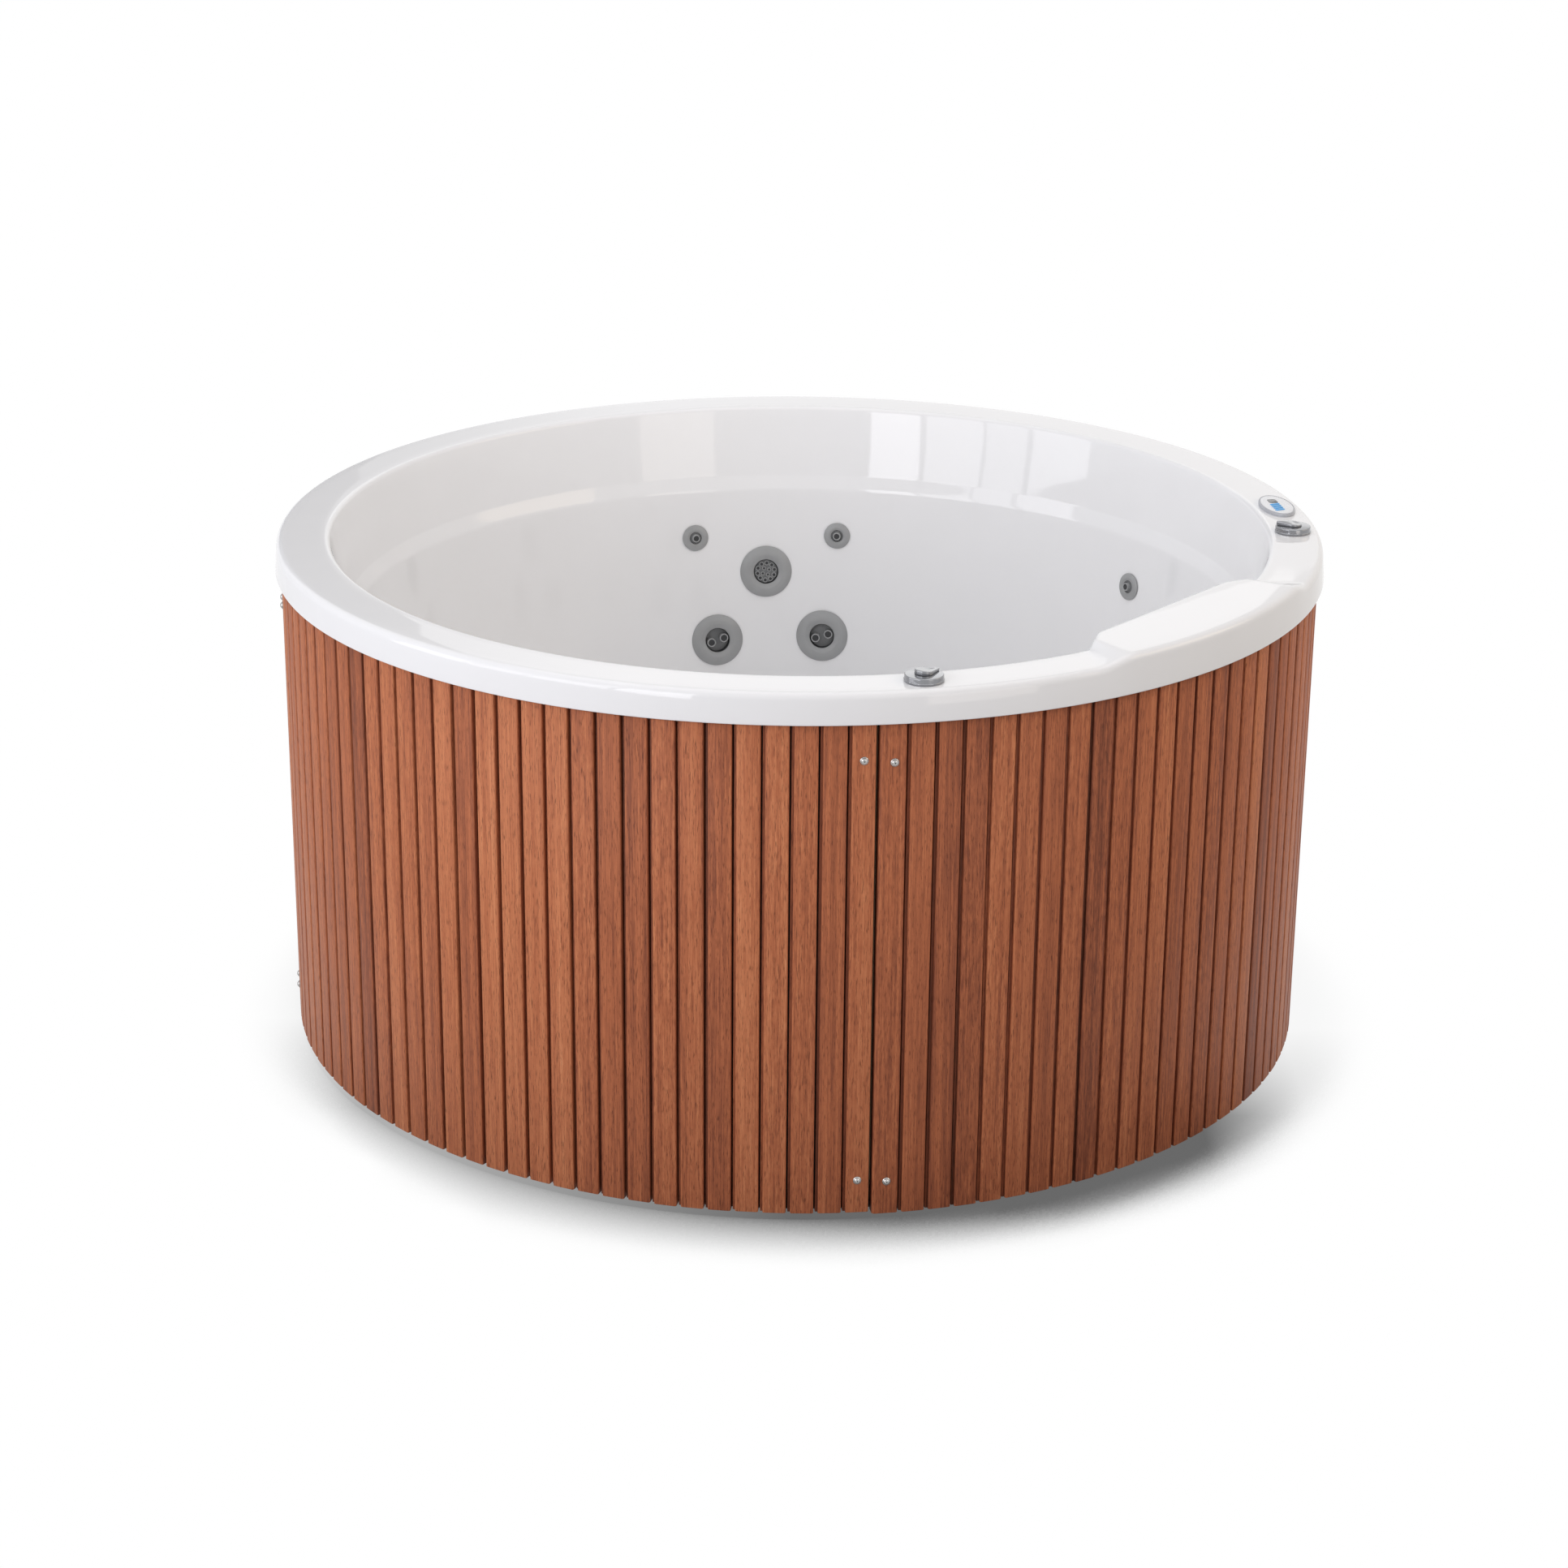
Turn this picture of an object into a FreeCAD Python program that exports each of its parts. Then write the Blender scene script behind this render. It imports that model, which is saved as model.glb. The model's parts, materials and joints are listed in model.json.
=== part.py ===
import FreeCAD, Part
import math
import os

import Sketcher
from FreeCAD import Placement, Rotation, Vector

doc = FreeCAD.newDocument("hot_tub")
sheet = doc.addObject("Spreadsheet::Sheet", "sizes")
aliases = []


class Size:
    """A driving dimension, or a sum made from some, with its value and its expression."""

    def __init__(self, value, text):
        self.value = value
        self.text = text

    def __float__(self):
        return self.value

    def __add__(self, other):
        return Size(self.value + float(other), f"({self.text} + {words(other)})")

    def __sub__(self, other):
        return Size(self.value - float(other), f"({self.text} - {words(other)})")

    def __mul__(self, factor):
        return Size(self.value * float(factor), f"({self.text} * {words(factor)})")

    def __truediv__(self, factor):
        return Size(self.value / float(factor), f"({self.text} / {words(factor)})")


def words(amount):
    return amount.text if isinstance(amount, Size) else repr(amount)


def size(alias, value):
    """Put one driving dimension into the spreadsheet."""
    aliases.append(alias)
    cell = f"A{len(aliases)}"
    sheet.set(cell, str(value))
    sheet.setAlias(cell, alias)
    return Size(float(value), f"sizes.{alias}")


# Shell: radii and heights of the wet side, in millimetres and degrees
rim_top = size("rim_top", 915)
skirt_radius = size("skirt_radius", 936)
skirt_height = size("skirt_height", 52)
skirt_draft = size("skirt_draft", 5)
rim_inner_radius = size("rim_inner_radius", 839)
shell_wall = size("shell_wall", 7)
upper_wall_radius = size("upper_wall_radius", 811)
step_top = size("step_top", 780.5)
step_radius = size("step_radius", 800)
step_drop = size("step_drop", 27.5)
seat_back_radius = size("seat_back_radius", 748)
seat_height = size("seat_height", 345)
seat_fall = size("seat_fall", 8)
seat_nose_radius = size("seat_nose_radius", 440)
footwell_radius = size("footwell_radius", 410)
footwell_floor = size("footwell_floor", 100)
rim_outer_round = size("rim_outer_round", 13)
rim_inner_round = size("rim_inner_round", 10)
seat_back_round = size("seat_back_round", 45)
seat_nose_round = size("seat_nose_round", 30)
footwell_round = size("footwell_round", 40)
fit_gap = size("fit_gap", 0.4)
drill_reach = size("drill_reach", 42)

# Headrest: a raised pad moulded into the rim
headrest_bearing = size("headrest_bearing", 130)
headrest_rise = size("headrest_rise", 14)
headrest_reach = size("headrest_reach", 50)
headrest_drop = size("headrest_drop", 95)
headrest_full_angle = size("headrest_full_angle", 9)
headrest_half_angle = size("headrest_half_angle", 16.5)
headrest_round = size("headrest_round", 8)
headrest_toe = size("headrest_toe", 1)

# Cladding: flat-faced slats in four panels with open seams
slat_overhang = size("slat_overhang", 11)
slat_thickness = size("slat_thickness", 20)
slat_foot = size("slat_foot", 11)
slat_groove = size("slat_groove", 7.2)
slat_edge = size("slat_edge", 1.6)
tongue_recess = size("tongue_recess", 4.5)
slats_per_panel = size("slats_per_panel", 32)
seam_gap_angle = size("seam_gap_angle", 0.2)
seam_bearing = size("seam_bearing", 172)
panel_sag = size("panel_sag", 4.5)
liner_thickness = size("liner_thickness", 3)
screw_top_height = size("screw_top_height", 801)
screw_low_height = size("screw_low_height", 70)
screw_radius = size("screw_radius", 2.5)
screw_length = size("screw_length", 45)
screw_head_radius = size("screw_head_radius", 5.5)
screw_head_height = size("screw_head_height", 3.2)
screw_head_side = size("screw_head_side", 1.1)
screw_head_top_radius = size("screw_head_top_radius", 3.3)
washer_radius = size("washer_radius", 7.5)
washer_height = size("washer_height", 1.6)

# Frame, floor panel and feet
foot_height = size("foot_height", 8)
foot_length = size("foot_length", 140)
foot_width = size("foot_width", 60)
foot_circle = size("foot_circle", 800)
tray_thickness = size("tray_thickness", 10)
beam_height = size("beam_height", 40)
beam_width = size("beam_width", 78)
spoke_width = size("spoke_width", 50)
hub_radius = size("hub_radius", 150)
post_width = size("post_width", 70)
post_depth = size("post_depth", 40)
beam_setback = size("beam_setback", 10)
hoop_thickness = size("hoop_thickness", 12)
hoop_height = size("hoop_height", 30)
hoop_top = size("hoop_top", 768)
slat_head_gap = size("slat_head_gap", 20)

# Controls on the rim
control_inset = size("control_inset", 4.5)
control_circle = (skirt_radius + rim_inner_radius) / 2 - control_inset
air_valve_bearing = size("air_valve_bearing", 167.1)
diverter_bearing = size("diverter_bearing", 91.3)
valve_face_radius = size("valve_face_radius", 32)
valve_face_height = size("valve_face_height", 12)
valve_stem_radius = size("valve_stem_radius", 17)
valve_stem_length = size("valve_stem_length", 62)
valve_shoulder = size("valve_shoulder", 4)
valve_port_drop = size("valve_port_drop", 44)
valve_port_reach = size("valve_port_reach", 30)
lever_pivot_radius = size("lever_pivot_radius", 9)
lever_socket_depth = size("lever_socket_depth", 8)
lever_hub_radius = size("lever_hub_radius", 15.5)
lever_reach = size("lever_reach", 30)
lever_height = size("lever_height", 7.5)
lever_round = size("lever_round", 4)
lever_edge = size("lever_edge", 1.6)
lever_nose_drop = size("lever_nose_drop", 3)
air_lever_turn = size("air_lever_turn", -65)
diverter_lever_turn = size("diverter_lever_turn", 0)
panel_bearing = size("panel_bearing", 81.4)
key_slant = size("key_slant", 17)
panel_length = size("panel_length", 124)
panel_width = size("panel_width", 60)
panel_bezel = size("panel_bezel", 3)
panel_case_height = size("panel_case_height", 7)
panel_case_depth = size("panel_case_depth", 14)
panel_case_inset = size("panel_case_inset", 8)
fascia_thickness = size("fascia_thickness", 2.5)
display_width = size("display_width", 17)
display_length = size("display_length", 24)
display_offset = size("display_offset", -21)
display_shift = size("display_shift", -2.5)
key_length = size("key_length", 18)
key_width = size("key_width", 6.5)
key_count = 4
key_pitch = size("key_pitch", 11.5)
key_first_offset = size("key_first_offset", 0.5)
key_shift = size("key_shift", -4)
key_height = size("key_height", 1.6)
key_travel = size("key_travel", 0.8)

# Jets: two small, one cluster and two twin-nozzle jets at each seat
first_seat_bearing = size("first_seat_bearing", -5)
second_seat_bearing = size("second_seat_bearing", 65.1)
small_jet_angle = size("small_jet_angle", 10.55)
small_jet_height = size("small_jet_height", 660)
cluster_jet_height = size("cluster_jet_height", 586)
twin_jet_angle = size("twin_jet_angle", 8.1)
twin_jet_height = size("twin_jet_height", 451.5)
twin_jet_shift = size("twin_jet_shift", 0.5)
twin_jet_rise = size("twin_jet_rise", 2.7)
large_face_radius = size("large_face_radius", 51)
large_face_height = size("large_face_height", 9)
large_face_crown = size("large_face_crown", 36.7)
large_throat_radius = size("large_throat_radius", 24.5)
large_barrel_radius = size("large_barrel_radius", 33)
large_barrel_length = size("large_barrel_length", 70)
large_flange_radius = size("large_flange_radius", 45)
large_chamber_depth = size("large_chamber_depth", 14)
small_face_radius = size("small_face_radius", 26.3)
small_face_height = size("small_face_height", 6)
small_face_crown = size("small_face_crown", 18.4)
small_throat_radius = size("small_throat_radius", 11)
small_barrel_radius = size("small_barrel_radius", 16.5)
small_barrel_length = size("small_barrel_length", 62)
small_flange_radius = size("small_flange_radius", 22.5)
small_chamber_depth = size("small_chamber_depth", 16)
jet_gasket = size("jet_gasket", 2)
jet_flange_thickness = size("jet_flange_thickness", 2.4)
jet_face_lip = size("jet_face_lip", 1.2)
jet_nut_thickness = size("jet_nut_thickness", 11)
jet_nut_rim = size("jet_nut_rim", 11)
nozzle_radius = size("nozzle_radius", 8.3)
nozzle_bore = size("nozzle_bore", 4.8)
nozzle_stand = size("nozzle_stand", 8)
nozzle_ball_angle = size("nozzle_ball_angle", 40)
rotor_thickness = size("rotor_thickness", 9)
rotor_recess = size("rotor_recess", 5)
rotor_shaft_radius = size("rotor_shaft_radius", 5)
rotor_shaft_length = size("rotor_shaft_length", 12)
running_gap = size("running_gap", 0.1)
seat_gap = size("seat_gap", 0.3)
insert_recess = size("insert_recess", 2)
twin_tube_offset = size("twin_tube_offset", 13.5)
twin_tube_radius = size("twin_tube_radius", 8.2)
twin_tube_bore = size("twin_tube_bore", 5.4)
twin_tube_stand = size("twin_tube_stand", 6)
twin_tube_tilt = size("twin_tube_tilt", 18)
cluster_outer_holes = size("cluster_outer_holes", 10)
cluster_inner_holes = size("cluster_inner_holes", 4)
cluster_outer_ring = size("cluster_outer_ring", 17.5)
cluster_inner_ring = size("cluster_inner_ring", 7.6)
cluster_hole_radius = size("cluster_hole_radius", 2.4)

# Plumbing and equipment behind the wall and under the seat
manifold_circle = size("manifold_circle", 817)
manifold_radius = size("manifold_radius", 16)
manifold_lift = size("manifold_lift", 59.5)
manifold_height = twin_jet_height + manifold_lift
air_circle = size("air_circle", 835)
air_pipe_radius = size("air_pipe_radius", 10)
air_upper_height = size("air_upper_height", 720)
air_lower_drop = size("air_lower_drop", 83.5)
air_lower_height = twin_jet_height - air_lower_drop
port_length = size("port_length", 6)
hose_radius = size("hose_radius", 10)
hose_bore = size("hose_bore", 7)
air_hose_radius = size("air_hose_radius", 7)
air_hose_bore = size("air_hose_bore", 4.5)
pipe_radius = size("pipe_radius", 14)
pipe_bend = size("pipe_bend", 32)
pump_circle = size("pump_circle", 640)
pump_axis_height = size("pump_axis_height", 112)
motor_radius = size("motor_radius", 72)
motor_length = size("motor_length", 250)
cradle_length = size("cradle_length", 150)
cradle_width = size("cradle_width", 108)
volute_radius = size("volute_radius", 84)
volute_length = size("volute_length", 66)
pump_bearing = size("pump_bearing", 180)
motor_offset = size("motor_offset", -20)
pump_port_radius = size("pump_port_radius", 20)
pump_port_length = size("pump_port_length", 34)
pump_outlet_rise = size("pump_outlet_rise", 104)
pump_pipe_turn = size("pump_pipe_turn", 235)
filter_bearing = size("filter_bearing", 140)
filter_circle = size("filter_circle", 620)
filter_radius = size("filter_radius", 88)
filter_height = size("filter_height", 235)
filter_wall = size("filter_wall", 5)
filter_stub = size("filter_stub", 98)
filter_lid_radius = size("filter_lid_radius", 94)
filter_lid_height = size("filter_lid_height", 28)
filter_lid_edge = size("filter_lid_edge", 20)
filter_lid_top_radius = size("filter_lid_top_radius", 56)
suction_height = size("suction_height", 195)
suction_barrel_radius = size("suction_barrel_radius", 26)
suction_barrel_length = size("suction_barrel_length", 45)
suction_bore = size("suction_bore", 20)
suction_flange_radius = size("suction_flange_radius", 44)
suction_flange = size("suction_flange", 5)
suction_collar = size("suction_collar", 9)
suction_web_drop = size("suction_web_drop", 1.6)
suction_relief = size("suction_relief", 1.8)
suction_port_height = size("suction_port_height", 190)
suction_port_reach = size("suction_port_reach", 75)
suction_port_circle = footwell_radius + suction_port_reach
second_suction_bearing = size("second_suction_bearing", 172)
suction_pipe_lead = size("suction_pipe_lead", 60)
suction_pipe_turn = suction_port_circle + suction_pipe_lead
cover_radius = size("cover_radius", 48)
cover_lip = size("cover_lip", 3)
cover_dome_radius = size("cover_dome_radius", 38)
cover_height = size("cover_height", 8)
cover_slot_width = size("cover_slot_width", 5)
cover_slot_length = size("cover_slot_length", 50)
cover_slot_count = size("cover_slot_count", 5)
cover_slot_pitch = size("cover_slot_pitch", 10)
heater_circle = size("heater_circle", 748)
heater_height = size("heater_height", 262)
heater_radius = size("heater_radius", 32)
heater_length = size("heater_length", 380)
heater_leg_offset = size("heater_leg_offset", 114)
heater_leg = size("heater_leg", 12)
heater_pipe_turn = size("heater_pipe_turn", 425)
box_bearing = size("box_bearing", 242)
box_circle = size("box_circle", 640)
box_length = size("box_length", 300)
box_depth = size("box_depth", 130)
box_height = size("box_height", 220)
gland_height = size("gland_height", 55)
gland_radius = size("gland_radius", 14)
gland_length = size("gland_length", 20)
drain_height = size("drain_height", 82)
drain_radius = size("drain_radius", 15)
drain_length = size("drain_length", 72)
drain_neck_radius = size("drain_neck_radius", 11)
drain_neck_height = size("drain_neck_height", 25)
drain_pin_radius = size("drain_pin_radius", 5)
drain_pin_length = size("drain_pin_length", 10)
drain_lever_length = size("drain_lever_length", 70)
drain_lever_width = size("drain_lever_width", 14)
drain_lever_height = size("drain_lever_height", 8)
riser_offset = size("riser_offset", 72)
air_link_bearing = size("air_link_bearing", 30)
air_link_circle = size("air_link_circle", 868)
air_link_bend = size("air_link_bend", 20)
air_feed_bearing = size("air_feed_bearing", 158)
air_feed_high = size("air_feed_high", 815)
air_feed_mid = size("air_feed_mid", 800)
air_feed_low = size("air_feed_low", 760)
air_feed_bulge = size("air_feed_bulge", 7)
ring_end_angle = size("ring_end_angle", 13)
air_ring_end_angle = size("air_ring_end_angle", 2.2)


# Helpers: places on the round plan, bound primitives, sketched bodies
nodes = {}
tolerance = 0.01


def node(label, item):
    """Name a finished sub-part; the label also names its file."""
    item.Label = label
    nodes[label] = item
    return item


def around(bearing, radius, height):
    """A point by compass bearing: 0 is the back (+Y) and 90 the right (+X)."""
    angle = math.radians(float(bearing))
    return Vector(float(radius) * math.sin(angle), float(radius) * math.cos(angle), float(height))


def upright(bearing, radius, height):
    """A frame standing at a bearing, local X along the round and local Y outward."""
    return Placement(around(bearing, radius, height), Rotation(Vector(0, 0, 1), -float(bearing)))


def bind(item, name, amount):
    if isinstance(amount, Size):
        item.setExpression(name, amount.text)
    else:
        setattr(item, name, amount)


def cylinder(name, radius, height, place=Placement(), angle=360):
    item = doc.addObject("Part::Cylinder", name)
    bind(item, "Radius", radius)
    bind(item, "Height", height)
    bind(item, "Angle", angle)
    item.Placement = place
    return item


def block(name, length, width, height, place, centred=True):
    """A box whose local X length and Y width are centred on its place."""
    item = doc.addObject("Part::Box", name)
    bind(item, "Length", length)
    bind(item, "Width", width)
    bind(item, "Height", height)
    half = Vector(-float(length) / 2, -float(width) / 2 if centred else 0, 0)
    item.Placement = place.multiply(Placement(half, Rotation()))
    return item


def difference(name, base, tool):
    item = doc.addObject("Part::Cut", name)
    item.Base = base
    item.Tool = tool
    return item


def union(name, pieces):
    item = doc.addObject("Part::MultiFuse", name)
    item.Shapes = pieces
    return item


def bundle(name, pieces):
    item = doc.addObject("Part::Compound", name)
    item.Links = pieces
    return item


def shaped(name, shape):
    item = doc.addObject("Part::Feature", name)
    item.Shape = shape
    return item


def origin_feature(body, role):
    return [item for item in body.Origin.OriginFeatures if item.Role == role][0]


def outline(body, name, plane, corners):
    """A closed sketch of straight runs with every corner bound to the spreadsheet."""
    sketch = body.newObject("Sketcher::SketchObject", name)
    sketch.AttachmentSupport = [(origin_feature(body, plane), "")]
    sketch.MapMode = "FlatFace"
    count = len(corners)
    points = [Vector(float(x), float(y), 0) for x, y in corners]
    for index in range(count):
        sketch.addGeometry(Part.LineSegment(points[index], points[(index + 1) % count]))
    for index in range(count):
        sketch.addConstraint(Sketcher.Constraint("Coincident", index, 2, (index + 1) % count, 1))
    for index, corner in enumerate(corners):
        for kind, axis, amount in (("DistanceX", -2, corner[0]), ("DistanceY", -1, corner[1])):
            if not isinstance(amount, Size) and amount == 0:
                sketch.addConstraint(Sketcher.Constraint("PointOnObject", index, 1, axis))
                continue
            rule = Sketcher.Constraint(kind, -1, 1, index, 1, float(amount))
            number = sketch.addConstraint(rule)
            if isinstance(amount, Size):
                sketch.setExpression(f"Constraints[{number}]", amount.text)
    return sketch


def turned(name, corners, place=Placement()):
    """A body of revolution about its own Z from (radius, height) corners."""
    body = doc.addObject("PartDesign::Body", name)
    sketch = outline(body, name + "_profile", "XZ_Plane", corners)
    feature = body.newObject("PartDesign::Revolution", name + "_turn")
    feature.Profile = sketch
    feature.ReferenceAxis = (sketch, ["V_Axis"])
    feature.Angle = 360
    body.Placement = place
    return body


def padded(name, corners, length, place=Placement()):
    """A body raised along its own Z from an outline in plan."""
    body = doc.addObject("PartDesign::Body", name)
    sketch = outline(body, name + "_outline", "XY_Plane", corners)
    feature = body.newObject("PartDesign::Pad", name + "_pad")
    feature.Profile = sketch
    bind(feature, "Length", length)
    body.Placement = place
    return body


def round_ring(body, radius, height, amount):
    """Fillet the circular edge of a turned body at one radius and height."""
    doc.recompute()
    base = body.Tip
    names = []
    for index, edge in enumerate(base.Shape.Edges):
        curve = edge.Curve
        if isinstance(curve, Part.Circle) and abs(curve.Radius - float(radius)) < tolerance:
            if abs(curve.Center.z - float(height)) < tolerance:
                names.append(f"Edge{index + 1}")
    feature = body.newObject("PartDesign::Fillet", f"{body.Name}_round")
    feature.Base = (base, names)
    bind(feature, "Radius", amount)


def bent_pipe(points, radius, bend):
    """A round bar along straight runs joined by tangent arcs of one bend radius."""
    edges = []
    start = points[0]
    for index in range(1, len(points) - 1):
        corner = points[index]
        back = (points[index - 1] - corner).normalize()
        onward = (points[index + 1] - corner).normalize()
        half_turn = (math.pi - back.getAngle(onward)) / 2
        leg = float(bend) * math.tan(half_turn)
        enter = corner + back * leg
        leave = corner + onward * leg
        inward = (back + onward).normalize()
        middle = corner + inward * (float(bend) / math.cos(half_turn) - float(bend))
        edges.append(Part.LineSegment(start, enter).toShape())
        edges.append(Part.Arc(enter, middle, leave).toShape())
        start = leave
    edges.append(Part.LineSegment(start, points[-1]).toShape())
    path = Part.Wire(edges)
    section = Part.Circle(points[0], points[1] - points[0], float(radius)).toShape()
    return path.makePipeShell([Part.Wire([section])], True, False)


def ring_arc(circle, height, radius, first_bearing, last_bearing):
    """A round bar bent about the tub axis between two bearings."""
    start = around(last_bearing, circle, height)
    along = around(float(last_bearing) + 90, 1, 0)
    section = Part.Face(Part.Wire([Part.Circle(start, along, float(radius)).toShape()]))
    turn = float(last_bearing) - float(first_bearing)
    return section.revolve(Vector(), Vector(0, 0, 1), turn)


def post(foot, top, radius):
    """A plain round bar between two points."""
    return Part.makeCylinder(float(radius), (top - foot).Length, foot, top - foot)


def sleeve(foot, top, radius, bore):
    """A tube between two points."""
    return post(foot, top, radius).cut(post(foot, top, bore))


# Heights and radii that several pieces share
skirt_bottom = rim_top - skirt_height
rim_under = rim_top - shell_wall
step_bottom = step_top - step_drop
seat_nose_height = seat_height - seat_fall
floor_under = footwell_floor - shell_wall
wood_radius = skirt_radius - slat_overhang
slat_back = wood_radius - slat_thickness
liner_outer = slat_back - fit_gap
liner_inner = liner_outer - liner_thickness
tray_under = foot_height
tray_top = foot_height + tray_thickness
beam_top = tray_top + beam_height
beam_outer = liner_inner - beam_setback
seams = [float(seam_bearing) - 90 * quarter for quarter in range(4)]
post_bearings = [bearing - 45 * half for bearing in seams for half in range(2)]
seat_bearings = [float(first_seat_bearing), float(second_seat_bearing), float(headrest_bearing)]
back_run = float(step_radius) - float(seat_back_radius)
back_rise = float(step_bottom) - float(seat_height)
draft_angle = math.atan2(back_run, back_rise)


def wall_radius(height):
    """Radius of the wet side of the seat back at a height."""
    share = (float(height) - float(seat_height)) / back_rise
    return float(seat_back_radius) + share * back_run


def wall_frame(bearing, height, depth=0.0):
    """A frame on the seat back: local Z points into the tub, square to the wall."""
    out = around(bearing, 1, 0)
    inward = out * -math.cos(draft_angle) + Vector(0, 0, math.sin(draft_angle))
    climb = out * math.sin(draft_angle) + Vector(0, 0, math.cos(draft_angle))
    centre = around(bearing, wall_radius(height), height) - inward * float(depth)
    return Placement(centre, Rotation(climb.cross(inward), climb, inward, "ZYX"))


def footwell_frame(bearing, height):
    """A frame on the footwell wall: local Z points to the tub axis, square to the wall."""
    lean = math.atan2(
        float(seat_nose_radius) - float(footwell_radius), float(seat_nose_height) - float(footwell_floor)
    )
    share = (float(height) - float(footwell_floor)) / (float(seat_nose_height) - float(footwell_floor))
    radius = float(footwell_radius) + share * (float(seat_nose_radius) - float(footwell_radius))
    out = around(bearing, 1, 0)
    inward = out * -math.cos(lean) + Vector(0, 0, math.sin(lean))
    climb = out * math.sin(lean) + Vector(0, 0, math.cos(lean))
    return Placement(around(bearing, radius, height), Rotation(climb.cross(inward), climb, inward, "ZYX"))


# Jet places: bearing and height of each jet, seat by seat
small_jets = []
cluster_jets = []
twin_jets = []
for seat in seat_bearings:
    for side in (-1, 1):
        small_jets.append((seat + side * float(small_jet_angle), float(small_jet_height)))
        bearing = seat + side * float(twin_jet_angle) + float(twin_jet_shift)
        twin_jets.append((bearing, float(twin_jet_height) + side * float(twin_jet_rise)))
    cluster_jets.append((seat, float(cluster_jet_height)))
large_jets = cluster_jets + twin_jets
suction_bearings = [float(filter_bearing), float(second_suction_bearing)]


# Acrylic shell: one vacuum-formed wall, turned about the tub axis
def headrest_form(inset):
    """The raised pad as a ruled loft; the inset makes the hollow behind it."""
    inset = float(inset)
    top = float(rim_top) + float(headrest_rise) - inset
    foot = float(rim_top) - float(headrest_drop)
    share = float(headrest_drop) / (float(rim_top) - float(step_top))
    foot_inner = float(rim_inner_radius) - share * (float(rim_inner_radius) - float(upper_wall_radius))
    outer = float(skirt_radius) - float(skirt_draft) - float(rim_outer_round) - inset
    shrink = math.degrees(inset / float(rim_inner_radius))
    full = float(headrest_full_angle)
    half = float(headrest_half_angle) - shrink
    ease = (half - full) / 2
    centre = float(headrest_bearing)

    def section(height, inner, shoulder):
        def at(angle, radius):
            return around(centre + angle, radius, height)

        def sweep(side):
            curve = Part.BezierCurve()
            curve.setPoles([
                at(side * full, inner),
                at(side * (full + ease), inner),
                at(side * (half - ease), shoulder),
                at(side * half, shoulder),
            ])
            return curve

        runs = [
            Part.Arc(at(-full, inner), at(0, inner), at(full, inner)),
            sweep(1),
            Part.LineSegment(at(half, shoulder), at(half, outer)),
            Part.Arc(at(half, outer), at(0, outer), at(-half, outer)),
            Part.LineSegment(at(-half, outer), at(-half, shoulder)),
            sweep(-1),
        ]
        return Part.Wire(Part.__sortEdges__([run.toShape() for run in runs]))

    lip = float(rim_inner_radius) + float(rim_inner_round)
    crown = section(top, float(rim_inner_radius) - float(headrest_reach) + inset, lip + inset)
    embed = float(shell_wall) / 2
    root = section(foot, foot_inner + embed + inset, foot_inner + embed + inset + float(headrest_toe))
    return Part.makeLoft([root, crown], True, True)


def headrest_clearance():
    """Room below the rim, so that the raised pad hangs nothing behind the wall."""
    foot = rim_top - headrest_drop
    lip = rim_inner_radius + rim_inner_round
    outer = skirt_radius - skirt_draft - rim_outer_round + fit_gap
    spread = headrest_half_angle * 2 + headrest_toe * 2
    turn = Rotation(Vector(0, 0, 1), 90 - float(headrest_bearing) - float(spread) / 2)
    place = Placement(Vector(0, 0, float(foot)), turn)
    rise = rim_under - foot
    sector = cylinder("headrest_sector", outer, rise, place, spread)
    core = cylinder("headrest_core", lip, rise, place)
    return difference("headrest_clearance", sector, core)


def rounded_headrest():
    form = headrest_form(0)
    top = float(rim_top) + float(headrest_rise)
    edges = [edge for edge in form.Edges if all(abs(v.Z - top) < tolerance for v in edge.Vertexes)]
    return form.makeFillet(float(headrest_round), edges)


def shell_profile():
    wet = [
        (skirt_radius, skirt_bottom),
        (skirt_radius - skirt_draft, rim_top),
        (rim_inner_radius, rim_top),
        (upper_wall_radius, step_top),
        (step_radius, step_bottom),
        (seat_back_radius, seat_height),
        (seat_nose_radius, seat_nose_height),
        (footwell_radius, footwell_floor),
        (0, footwell_floor),
    ]
    dry = [
        (0, floor_under),
        (footwell_radius + shell_wall, floor_under),
        (seat_nose_radius + shell_wall, seat_nose_height - shell_wall),
        (seat_back_radius + shell_wall, seat_height - shell_wall),
        (step_radius + shell_wall, step_bottom - shell_wall / 2),
        (upper_wall_radius + shell_wall, step_top - shell_wall / 2),
        (rim_inner_radius + shell_wall, rim_under),
        (skirt_radius - skirt_draft - shell_wall, rim_under),
        (skirt_radius - shell_wall, skirt_bottom),
    ]
    return wet + dry


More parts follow.
